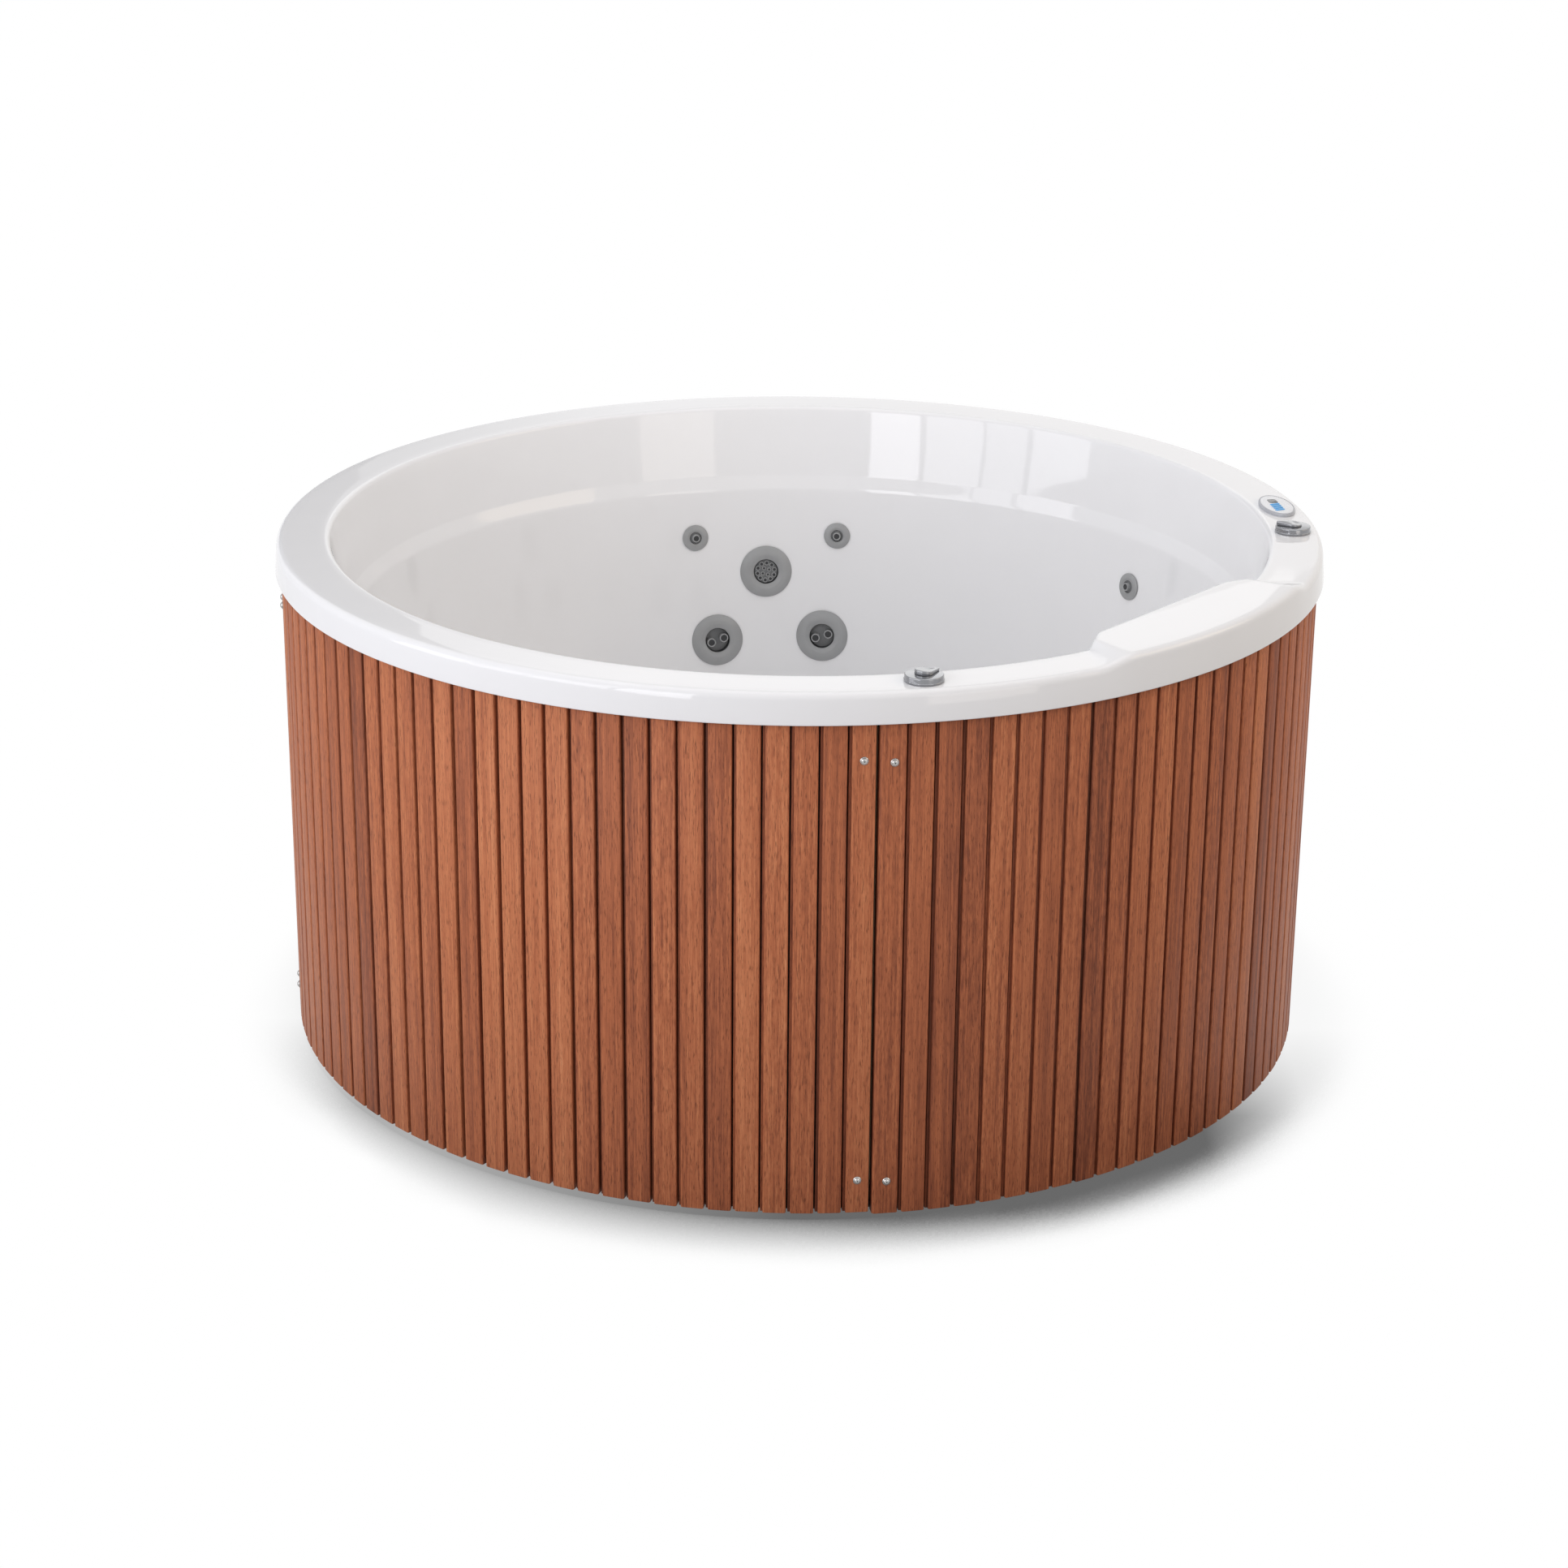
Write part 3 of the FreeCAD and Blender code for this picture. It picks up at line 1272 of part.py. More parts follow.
def control_box():
    place = upright(box_bearing, box_circle, tray_top)
    case = block("box_case", box_length, box_depth, box_height, place)
    side = shifted(place, 0, box_depth / 2, gland_height)
    gland_place = side.multiply(Placement(Vector(), Rotation(Vector(1, 0, 0), -90)))
    gland = cylinder("box_gland", gland_radius, gland_length, gland_place)
    node("control_box", union("control_box", [case, gland]))


def filter_ports():
    """Start and end of each stub on the filter, from its axis outward."""
    turn = around(second_suction_bearing, suction_pipe_turn, 0)
    centre = around(filter_bearing, filter_circle, 0)
    ways = {
        "first_suction": (suction_port_height, around(filter_bearing, -1, 0)),
        "second_suction": (suction_port_height, (turn - centre).normalize()),
        "pump": (pump_axis_height, around(pump_bearing, 1, 0)),
        "drain": (drain_height, around(filter_bearing, 1, 0)),
    }
    ports = {}
    for name, (height, way) in ways.items():
        start = centre + Vector(0, 0, float(height))
        ports[name] = (start, start + way * float(filter_stub), way)
    return ports


def filter_set(ports):
    axis = upright(filter_bearing, filter_circle, tray_top)
    members = [cylinder("filter_tank", filter_radius, filter_height, axis)]
    for name, (start, _, way) in ports.items():
        place = Placement(start, Rotation(Vector(0, 0, 1), way))
        members.append(cylinder(f"filter_stub_{name}", pipe_radius, filter_stub, place))
    floor = shifted(axis, 0, 0, filter_wall)
    inside = cylinder("filter_inside", filter_radius - filter_wall, filter_height, floor)
    node("filter_canister", difference("filter_canister", union("filter_solid", members), inside))
    lid = turned("filter_lid", [
        (0, 0),
        (filter_lid_radius, 0),
        (filter_lid_radius, filter_lid_edge),
        (filter_lid_top_radius, filter_lid_height),
        (0, filter_lid_height),
    ], shifted(axis, 0, 0, filter_height))
    node("filter_lid", lid)


def drain_valve(ports):
    _, end, way = ports["drain"]
    lengthwise = Placement(end, Rotation(Vector(0, 0, 1), way))
    barrel = cylinder("drain_barrel", drain_radius, drain_length, lengthwise)
    axis = upright(filter_bearing, filter_circle + filter_stub + drain_length / 2, drain_height)
    neck = turned("drain_neck", [
        (0, 0),
        (drain_neck_radius, 0),
        (drain_neck_radius, drain_neck_height),
        (drain_pin_radius + fit_gap, drain_neck_height),
        (drain_pin_radius + fit_gap, drain_neck_height - drain_pin_length),
        (0, drain_neck_height - drain_pin_length),
    ], axis)
    node("drain_valve_body", union("drain_valve_body", [barrel, neck]))
    foot = drain_neck_height + fit_gap
    hub = turned("drain_hub", [
        (0, foot - drain_pin_length + fit_gap),
        (drain_pin_radius, foot - drain_pin_length + fit_gap),
        (drain_pin_radius, foot),
        (drain_neck_radius, foot),
        (drain_neck_radius, foot + drain_lever_height),
        (0, foot + drain_lever_height),
    ], axis)
    arm_place = shifted(axis, drain_lever_length / 2, 0, foot)
    arm = block("drain_arm", drain_lever_length, drain_lever_width, drain_lever_height, arm_place)
    node("drain_valve_handle", union("drain_valve_handle", [hub, arm]))


def rings_and_hoses(lines):
    first = first_seat_bearing - ring_end_angle
    last = headrest_bearing + ring_end_angle
    diverter = upright(diverter_bearing, control_circle, 0)
    landing = diverter.multVec(Vector(-float(riser_offset), 0, float(manifold_height)))
    inward = Vector(-landing.x, -landing.y, 0).normalize()
    distance = landing.x * inward.x + landing.y * inward.y + float(manifold_circle)
    centre = landing - inward * distance
    return_mouth = centre - inward * (float(manifold_radius) + float(port_length))
    ring = ring_arc(manifold_circle, manifold_height, manifold_radius, first, last)
    water_ports = lines["water_port"] + [post(centre, return_mouth, pipe_radius)]
    manifold = ring.fuse(water_ports).removeSplitter()
    node("water_manifold", shaped("water_manifold", manifold))
    node("water_hoses", shaped("water_hoses", Part.makeCompound(lines["water_hose"])))
    upper_end = air_feed_bearing + air_ring_end_angle
    upper = ring_arc(air_circle, air_upper_height, air_pipe_radius, first, upper_end)
    lower = ring_arc(manifold_circle, air_lower_height, air_pipe_radius, first, last)
    link = bent_pipe([
        around(air_link_bearing, manifold_circle, air_lower_height),
        around(air_link_bearing, air_link_circle, air_lower_height),
        around(air_link_bearing, air_link_circle, air_upper_height),
        around(air_link_bearing, air_circle, air_upper_height),
    ], air_hose_radius, air_link_bend)
    feed = bent_pipe([
        around(air_valve_bearing, control_circle, rim_top - valve_stem_length),
        around(air_valve_bearing, control_circle, air_feed_high),
        around(air_feed_bearing, air_circle + air_feed_bulge, air_feed_mid),
        around(air_feed_bearing, air_circle, air_feed_low),
        around(air_feed_bearing, air_circle, air_upper_height),
    ], air_hose_radius, air_link_bend)
    air = upper.fuse([lower, link, feed] + lines["air_port"]).removeSplitter()
    node("air_manifolds", shaped("air_manifolds", air))
    node("air_hoses", shaped("air_hoses", Part.makeCompound(lines["air_hose"])))
    return return_mouth


def main_pipes(ports, return_mouth):
    side = upright(pump_bearing, 0, 0)

    def spot(along, circle, height):
        return side.multVec(Vector(float(along), float(circle), float(height)))

    outlet = motor_offset - volute_length / 2
    outlet_top = pump_axis_height + pump_outlet_rise
    inlet = motor_offset - volute_length - pump_port_length
    end = heater_length / 2
    pump_out = [
        spot(outlet, pump_circle, outlet_top),
        spot(outlet, pump_circle, heater_height),
        spot(pump_pipe_turn, pump_circle, heater_height),
        spot(pump_pipe_turn, heater_circle, heater_height),
        spot(end, heater_circle, heater_height),
    ]
    mouth = ports["pump"][1]
    pump_in = [
        mouth,
        Vector(mouth.x, -float(pump_circle), mouth.z),
        spot(inlet, pump_circle, pump_axis_height),
    ]
    second = [
        around(second_suction_bearing, suction_port_circle, suction_port_height),
        around(second_suction_bearing, suction_pipe_turn, suction_port_height),
        ports["second_suction"][1],
    ]
    diverter = upright(diverter_bearing, control_circle, 0)
    high = rim_top - valve_port_drop

    def beside(along, height):
        return diverter.multVec(Vector(float(along), 0, float(height)))

    riser = [
        spot(end * -1, heater_circle, heater_height),
        spot(heater_pipe_turn * -1, heater_circle, heater_height),
        beside(riser_offset, heater_height),
        beside(riser_offset, high),
        beside(valve_port_reach, high),
    ]
    back = [
        beside(valve_port_reach * -1, high),
        beside(riser_offset * -1, high),
        beside(riser_offset * -1, manifold_height),
        return_mouth,
    ]
    pipes = [bent_pipe(points, pipe_radius, pipe_bend) for points in (pump_out, pump_in, second, riser, back)]
    first_mouth = around(filter_bearing, suction_port_circle, suction_port_height)
    pipes.append(post(first_mouth, ports["first_suction"][1], pipe_radius))
    node("main_pipes", shaped("main_pipes", Part.makeCompound(pipes)))


shell = acrylic_shell()
slat_drills = screw_drills("slat_drills", fit_gap)
panel_names = ("front_left", "front_right", "back_right", "back_left")
for panel_name, seam in zip(panel_names, [float(seam_bearing) + 90] + seams[:3]):
    panel_foot = slat_foot - panel_sag if panel_name == "front_right" else slat_foot
    cladding_panel(f"cladding_{panel_name}", seam, panel_foot, slat_drills)
cladding_liners(slat_drills)
screws_and_washers()
frame()
valve_body("air_valve", air_valve_bearing, ())
valve_body("diverter", diverter_bearing, (-1, 1))
lever("air_valve_lever", air_valve_bearing, air_lever_turn)
lever("diverter_lever", diverter_bearing, diverter_lever_turn)
control_panel()
doc.recompute()
lines = jet_lines()
jets(lines)
doc.recompute()
suctions()
pump()
heater()
control_box()
ports = filter_ports()
filter_set(ports)
drain_valve(ports)
return_mouth = rings_and_hoses(lines)
main_pipes(ports, return_mouth)
doc.recompute()

# Checks, then one file for each sub-part
for item in doc.Objects:
    if "Invalid" in item.State or "Error" in item.State:
        raise RuntimeError(f"{item.Label} did not recompute")
for label, item in nodes.items():
    if item.Shape.isNull() or not item.Shape.isValid():
        raise RuntimeError(f"{label} has no valid shape")
os.makedirs("parts", exist_ok=True)
for label, item in nodes.items():
    item.Shape.exportStep(f"parts/{label}.step")
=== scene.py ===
import json
import math
import random

import bmesh
import bpy
import numpy as np
from mathutils import Matrix, Vector


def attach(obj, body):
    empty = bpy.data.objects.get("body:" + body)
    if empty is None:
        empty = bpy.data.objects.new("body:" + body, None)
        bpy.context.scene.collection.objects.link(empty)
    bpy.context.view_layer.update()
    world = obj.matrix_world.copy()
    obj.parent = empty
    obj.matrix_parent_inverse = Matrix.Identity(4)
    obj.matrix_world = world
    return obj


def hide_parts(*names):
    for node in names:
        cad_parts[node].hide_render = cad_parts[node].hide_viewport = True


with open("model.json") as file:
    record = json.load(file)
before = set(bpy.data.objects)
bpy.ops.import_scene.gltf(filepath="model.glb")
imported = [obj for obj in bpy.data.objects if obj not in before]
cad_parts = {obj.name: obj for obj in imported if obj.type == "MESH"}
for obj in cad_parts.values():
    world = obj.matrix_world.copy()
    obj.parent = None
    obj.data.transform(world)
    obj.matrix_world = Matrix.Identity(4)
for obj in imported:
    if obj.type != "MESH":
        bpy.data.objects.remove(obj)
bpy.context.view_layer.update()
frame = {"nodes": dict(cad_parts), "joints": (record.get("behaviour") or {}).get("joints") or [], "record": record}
joints = {joint["name"]: joint for joint in frame["joints"]}

# Lean of the seat back, read from a jet that sits square on it
draft = math.asin(joints["twin_jet_rotor_1_spin"]["axis"][2])

# Shell in metres: a corner is (radius, height); bearing 0 is the back (+Y), 90 the right (+X)
RIM_TOP = 0.915
SKIRT_BOTTOM = 0.863
SKIRT_RADIUS = 0.936
SKIRT_TOP_RADIUS = 0.931
RIM_INNER = 0.839
UPPER_WALL_FOOT = (0.811, 0.7805)
STEP_FOOT = (0.800, 0.753)
SEAT_BACK = (0.748, 0.345)
SEAT_NOSE = (0.440, 0.337)
FOOTWELL_EDGE = (0.410, 0.100)
SHELL_WALL = 0.007

# Roundings of the shell's wet side
SKIRT_ROUND = 0.0025
RIM_OUTER_ROUND = 0.013
RIM_INNER_ROUND = 0.010
UPPER_WALL_ROUND = 0.025
STEP_ROUND = 0.035
SEAT_BACK_ROUND = 0.045
SEAT_NOSE_ROUND = 0.030
FOOTWELL_ROUND = 0.040

# Mesh of the shell: longest step along its profile in metres, steps round it in degrees
PROFILE_STEP = 0.02
BEARING_STEP = 1.0
HEADREST_STEP = 0.25

# Holes in the shell: radii, half lengths for the panel, and how far the cutters reach each way
LARGE_JET_HOLE = 0.0334
SMALL_JET_HOLE = 0.0169
SUCTION_HOLE = 0.0264
SUCTION_BEARINGS = (140.0, 172.0)
SUCTION_HEIGHT = 0.195
VALVE_HOLE = 0.0174
PANEL_HOLE = (0.0544, 0.0224)
DRILL_REACH = 0.03

# Headrest moulded into the rim: half widths and the lengths of its ends are in degrees
HEADREST_BEARING = 130.0
HEADREST_HALF = 16.4
HEADREST_FULL = 12.6
HEADREST_CHORD = 0.786
HEADREST_RISE = 0.014
HEADREST_FOOT = 0.820
HEADREST_EDGE = 0.925
HEADREST_END = 1.3
HEADREST_OUTER_HALF = 19.5
HEADREST_OUTER_END = 5.2

# Cladding
WOOD_RADIUS = 0.925
SLAT_THICKNESS = 0.020
SLAT_FOOT = 0.011
SLAT_TOP = 0.888
SLAT_END = 0.0009
SLAT_GROOVE = 0.0072
SLAT_EDGE = 0.0024
TONGUE = 0.0042
TONGUE_RECESS = 0.0065
TONGUE_EDGE = 0.0006
SEAM_LIP = 0.0048
SLATS_PER_PANEL = 32
PANEL_SPAN = 90.0
SEAM_BEARING = 172.0
SEAM_GAP = 0.2
PANEL_SAG = 0.0045

# How slats differ: how far feet rise and fronts sink, and the spread of tone, figure and grain
FOOT_SCATTER = 0.0008
FRONT_SCATTER = 0.0006
TONE_SCATTER = 0.055
TONE_LIMITS = (0.38, 0.70)
# Painted shade: how far the tone darkens on the groove walls and tongue, most at the recess
GROOVE_SHADE = 0.25
FIGURES = (0.16, 0.24, 0.36, 0.50)
GRAIN_SPREAD = 9
FIRST_SEED = 11

# Panels in order from the front seam, with the mean tone of their slats
PANEL_TONES = {
    "cladding_front_right": 0.51,
    "cladding_back_right": 0.55,
    "cladding_back_left": 0.55,
    "cladding_front_left": 0.56,
}

# Slats that stand out in the photograph: number in the panel, and tone
SLAT_TONES = {
    "cladding_front_left": {10: 0.36, 26: 0.42, 27: 0.64},
    "cladding_front_right": {8: 0.34},
}

# Screws and cup washers, measured out from the front of the wood; the dome's sweep is in degrees
SCREW_HEIGHTS = (0.070, 0.801)
WASHER_RADIUS = 0.0075
WASHER_BORE = 0.0029
WASHER_CREST = 0.0017
WASHER_SEAT = 0.0012
HEAD_RADIUS = 0.0055
HEAD_GAP = 0.0004
HEAD_FOOT = 0.0008
HEAD_EDGE = 0.0014
HEAD_DOME = 0.0030
HEAD_SWEEP = 78
SHANK_RADIUS = 0.0025
SHANK_LENGTH = 0.010
SOCKET_RADIUS = 0.0027
SOCKET_CREST = 0.00425
SOCKET_MOUTH = 0.0041
SOCKET_FLOOR = 0.0019
SOCKET_TIP = 0.0014

# Jet faces: radius, radius of the crown, radius of the throat, height
LARGE_FACE = (0.0525, 0.0345, 0.0250, 0.009)
SMALL_FACE = (0.0263, 0.0145, 0.0104, 0.006)

# All jet faces: foot and top of the thin edge, heights of the back outside and inside, the throat
FACE_EDGE = (0.0018, 0.0030)
FACE_BACK = (0.0020, 0.0040)
FACE_BORDER = 0.0040
THROAT_MOUTH = 0.0046
THROAT_FLARE = 0.0012

# Discs that carry the nozzles of large jets: radius, foot, top
TWIN_PLATE = (0.0244, -0.0096, -0.0072)
CLUSTER_PLATE = (0.0238, -0.0066, -0.0004)
PLATE_EDGE = 0.0010

# Nozzles: outer radius, bore, foot, top, and how far below the top the dark plug of painted shade in the bore ends
TWIN_NOZZLE = (0.0088, 0.0066, -0.0085, 0.0076, 0.0010)
RING_NOZZLE = (0.0049, 0.0032, -0.0020, 0.0038, 0.0005)
CORE_NOZZLE = (0.0041, 0.0024, -0.0020, 0.0038, 0.0005)
SMALL_NOZZLE = (0.0077, 0.0056, -0.0080, 0.0108, 0.0010)
BORE_GAP = 0.0001

# Where nozzles stand: half the distance of twins and their tilt, rings of a cluster
TWIN_SPREAD = 0.0135
TWIN_TILT = 18.0
CLUSTER_RINGS = ((10, 0.0176, RING_NOZZLE), (4, 0.0076, CORE_NOZZLE))
CLUSTER_START = 0.35

# Ball of a small jet: its arc is in radians from the equator
BALL_RADIUS = 0.0101
BALL_BORE = 0.0070
BALL_ARC = (-0.60, 0.62)
BALL_POINTS = 13

# Rim valves: corners of the ring as (radius, height, rounding)
CONTROL_CIRCLE = 0.883
VALVE_RING = (
    (0.0, 0.0),
    (0.0320, 0.0, 0.0006),
    (0.0324, 0.0036, 0.0006),
    (0.0316, 0.0041, 0.0003),
    (0.0313, 0.0116, 0.0016),
    (0.0, 0.0120),
)

# Leaf of a lever: hub, reach, blunt tip, and levels as (height, scale, dip of the low end)
LEAF_HUB = 0.0155
LEAF_REACH = 0.030
LEAF_TIP = 0.004
LEAF_LEVELS = (
    (0.0123, 0.98, 0.0),
    (0.0127, 1.00, 0.0),
    (0.0186, 0.985, 0.0042),
    (0.0195, 0.965, 0.0044),
    (0.0198, 0.925, 0.0045),
    (0.0198, 0.70, 0.0045),
    (0.0191, 0.35, 0.0040),
)

# Levers: their turn at rest in degrees, and whether the nose is the low end of the leaf
LEVERS = {"air_valve": (-65.0, True), "diverter": (0.0, False)}

# Control panel: half lengths, and levels of its ovals as (inset, height)
PANEL_BEARING = 81.4
PANEL_HALF = (0.062, 0.030)
CASE_LEVELS = (
    (0.0006, 0.0),
    (0.0, 0.0008),
    (0.0, 0.0048),
    (0.0008, 0.0064),
    (0.0020, 0.0070),
    (0.0030, 0.0068),
    (0.0032, 0.0046),
)
FACE_LEVELS = (
    (0.0034, 0.0047),
    (0.0034, 0.0066),
    (0.0042, 0.0069),
    (0.0120, 0.0070),
)

# Keys, their wells and the display: sizes are (length, width), spans are (foot, top)
KEY_COUNT = 4
KEY_FIRST = (0.0005, -0.004)
KEY_PITCH = 0.0115
KEY_SLANT = 17.0
KEY_SIZE = (0.018, 0.0065)
KEY_SPAN = (0.0062, 0.0086)
KEY_EDGE = 0.0009
WELL_SIZE = (0.0184, 0.0069)
WELL_SPAN = (0.0052, 0.0090)
SCREEN_PLACE = (-0.021, -0.0025, 0.0)
SCREEN_SIZE = (0.017, 0.024)
SCREEN_SPAN = (0.0060, 0.0074)
SCREEN_EDGE = 0.0004
CORNER_SHARE = 0.28
LEAST_CORNER = 0.0002

# Floor, and how near a surface has to be to shade it
FLOOR_REACH = 40.0
FLOOR_COLOUR = (0.42, 0.42, 0.43, 1.0)
SHADE_REACH = 0.27

# Painted contact shadow: its depth at the core and at the edge
SHADOW_DEPTH = (0.86, 0.0)

# Where the shadow has its core and its edge, and how it fades, as (from, to, value at from, value at to)
SHADOW_CORE = (0.0, 0.45, 0.50, 0.66)
SHADOW_EDGE = (-0.80, -0.50, 0.72, 0.83)
SHADOW_FRONT = (-0.15, -0.52, 0.2, 1.0)
SHADOW_LEFT = (-0.65, 0.0, 0.66, 1.0)
SHADOW_RIGHT = (0.71, 0.90, 1.0, 0.4)

# Lamps: windows are (first bearing, last bearing, radiance)
WHITE = (1.0, 1.0, 1.0)
COOL = (0.965, 0.96, 1.0)
CREAM = (1.0, 0.92, 0.84)
WARM = (1.0, 0.80, 0.57)
WINDOWS = ((199.6, 214.0, 3.1), (215.6, 232.2, 2.0), (233.2, 245.2, 1.6), (246.8, 265.6, 1.8))
WINDOW_DISTANCE = 5.0
WINDOW_EDGES = (0.6, 3.4)

# Other softboxes: name, bearing, distance, lower edge, upper edge, width, radiance, colour
SOFTBOXES = (
    ("warm_fill", 145.2, 5.0, 0.4, 3.0, 1.9, 1.2, CREAM),
    ("right_fill", 95.0, 4.6, 2.2, 4.8, 3.6, 1.3, WARM),
    ("back_wall", 2.0, 5.4, 2.65, 4.2, 3.0, 0.45, WHITE),
    ("low_wall", 6.0, 5.4, 1.6, 2.65, 4.2, 0.18, WHITE),
)
OVERHEAD_PLACE = (0.0, 0.6, 5.2)
OVERHEAD_SIDES = (4.5, 4.5)
OVERHEAD_RADIANCE = 0.75
OVERHEAD_COLOUR = (0.975, 0.97, 1.0)

# Watts that give one square metre of lamp a radiance of 1
WATTS = 4

# Dim dome, and the dark card that the rim mirrors at the back left, in degrees
DOME_COLOUR = (0.975, 0.975, 1.0, 1.0)
DOME_STRENGTH = 0.46
CARD_BEARING = -18.0
CARD_RISE = 15.0
CARD_INNER = 8.0
CARD_OUTER = 15.5
CARD_STRENGTH = 0.3

# Camera: lens and sensor in millimetres, angles in degrees
LENS = 79.82
SENSOR_WIDTH = 36.0
CAMERA_PLACE = (0.0, -6.00937, 2.67937)
CAMERA_YAW = 0.230
CAMERA_DIP = 20.646
CAMERA_ROLL = 0.490

# Angles in degrees past which an edge stays crisp
CREASE = 35
SOFT_CREASE = 50
LEAF_CREASE = 60

# Noise in a shader: where it mostly lies, its middle, and how much its finer layers count
NOISE_RANGE = (0.3, 0.7)
NOISE_MIDDLE = 0.5
NOISE_ROUGHNESS = 0.55

# A point of a profile nearer to the axis than this is on it
ON_AXIS = 1e-9


# Geometry helpers
def around(bearing, radius, height):
    """The point at a bearing, a distance from the tub axis and a height."""
    angle = math.radians(bearing)
    return Vector((radius * math.sin(angle), radius * math.cos(angle), height))


def bearing_of(point):
    return math.degrees(math.atan2(point[0], point[1]))


def upright(bearing, radius, height):
    """A frame at a bearing: local X along the round, local Y outward, local Z up."""
    turn = Matrix.Rotation(-math.radians(bearing), 4, "Z")
    return Matrix.Translation(around(bearing, radius, height)) @ turn


def outward(bearing, radius, height):
    """A frame whose local Z points straight out from the tub axis."""
    return upright(bearing, radius, height) @ Matrix.Rotation(-math.pi / 2, 4, "X")


def clamp(share):
    return min(1.0, max(0.0, share))


def ease(share):
    share = clamp(share)
    return share * share * (3 - 2 * share)


def polar(radius, angle):
    return radius * math.cos(angle), radius * math.sin(angle)


def ellipse(half_x, half_y, height, count=96):
    turns = [2 * math.pi * step / count for step in range(count)]
    return [(half_x * math.cos(turn), half_y * math.sin(turn), height) for turn in turns]


def rounded(corners, steps=8, closed=False):
    """An outline whose corners (x, y, radius) are rounded by arcs."""
    points = []
    count = len(corners)
    for index, corner in enumerate(corners):
        here = Vector(corner[:2])
        radius = corner[2] if len(corner) > 2 else 0
        ends = not closed and index in (0, count - 1)
        if radius == 0 or ends:
            points.append(tuple(here))
            continue
        back = (Vector(corners[index - 1][:2]) - here).normalized()
        onward = (Vector(corners[(index + 1) % count][:2]) - here).normalized()
        half = back.angle(onward) / 2
        centre = here + (back + onward).normalized() * (radius / math.sin(half))
        start = here + back * (radius / math.tan(half)) - centre
        end = here + onward * (radius / math.tan(half)) - centre
        first = math.atan2(start.y, start.x)
        turn = math.atan2(end.y, end.x) - first
        turn = (turn + math.pi) % (2 * math.pi) - math.pi
        for step in range(steps + 1):
            x, y = polar(radius, first + turn * step / steps)
            points.append((centre.x + x, centre.y + y))
    return points


def rod(radius, foot, top):
    """Profile of a plain rod."""
    return [(0.0, foot), (radius, foot), (radius, top), (0.0, top)]


def bands(rings):
    """Faces between each ring and the next; a ring on the axis is one point, repeated."""
    faces = []
    for low, high in zip(rings, rings[1:]):
        for index in range(len(low)):
            after = (index + 1) % len(low)
            corners = dict.fromkeys((low[index], low[after], high[after], high[index]))
            faces.append(list(corners))
    return [face for face in faces if len(face) > 2]


def lathe(profile, steps):
    """Turn (radius, height) points about Z: closed to a ring unless both ends are on the axis."""
    points = []
    rings = []
    for radius, height in profile:
        if radius < ON_AXIS:
            rings.append([len(points)] * steps)
            points.append((0, 0, height))
            continue
        rings.append(list(range(len(points), len(points) + steps)))
        for step in range(steps):
            points.append((*polar(radius, 2 * math.pi * step / steps), height))
    if profile[0][0] >= ON_AXIS or profile[-1][0] >= ON_AXIS:
        rings.append(rings[0])
    return points, bands(rings)


def loft(sections):
    """Skin equal rings of points and close both ends."""
    count = len(sections[0])
    points = [point for section in sections for point in section]
    rings = [list(range(row * count, (row + 1) * count)) for row in range(len(sections))]
    return points, [rings[0][::-1], *bands(rings), rings[-1]]


class Form:
    """Points and faces that grow piece by piece and end as one object."""

    def __init__(self):
        self.points = []
        self.faces = []
        self.marks = {}

    def add(self, solid, place=Matrix.Identity(4), **marks):
        points, faces = solid
        start = len(self.points)
        self.points += [tuple(place @ Vector(point)) for point in points]
        self.faces += [[start + index for index in face] for face in faces]
        for name, values in marks.items():
            self.marks.setdefault(name, []).extend(values)
        return self

    def mesh(self, name, sharp=CREASE):
        mesh = bpy.data.meshes.new(name)
        mesh.from_pydata(self.points, [], self.faces)
        for mark, values in self.marks.items():
            vector = hasattr(values[0], "__len__")
            attribute = mesh.attributes.new(mark, "FLOAT_VECTOR" if vector else "FLOAT", "POINT")
            flat = np.array(values, np.float32).ravel()
            attribute.data.foreach_set("vector" if vector else "value", flat)
        tidy(mesh, sharp)
        return mesh

    def piece(self, name, slot, nodes, body="tub", sharp=CREASE, look=None):
        piece(name, self.mesh(name, sharp), slot, nodes, body, look)


def tidy(mesh, sharp):
    """Face outward, smooth, and keep true edges crisp."""
    form = bmesh.new()
    form.from_mesh(mesh)
    bmesh.ops.recalc_face_normals(form, faces=form.faces)
    form.to_mesh(mesh)
    form.free()
    mesh.shade_smooth()
    mesh.set_sharp_from_angle(angle=math.radians(sharp))


def piece(name, mesh, slot, nodes, body="tub", look=None):
    """Make an object that wears its slot's material, or another look, and stands for nodes."""
    item = bpy.data.objects.new(name, mesh)
    bpy.context.scene.collection.objects.link(item)
    mesh.materials.append(materials[look or slot])
    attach(item, body)
    if nodes:
        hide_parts(*nodes)


def carved(form, drills, name):
    """The mesh that is left of a form when the drills are cut out of it."""
    blank = bpy.data.objects.new(name, form.mesh(name))
    cutter = bpy.data.objects.new("drills", drills.mesh("drills"))
    for item in (blank, cutter):
        bpy.context.scene.collection.objects.link(item)
    cut = blank.modifiers.new("holes", "BOOLEAN")
    cut.operation = "DIFFERENCE"
    cut.solver = "EXACT"
    cut.object = cutter
    bpy.context.view_layer.update()
    graph = bpy.context.evaluated_depsgraph_get()
    mesh = bpy.data.meshes.new_from_object(blank.evaluated_get(graph))
    for item in (blank, cutter):
        bpy.data.objects.remove(item)
    tidy(mesh, CREASE)
    return mesh


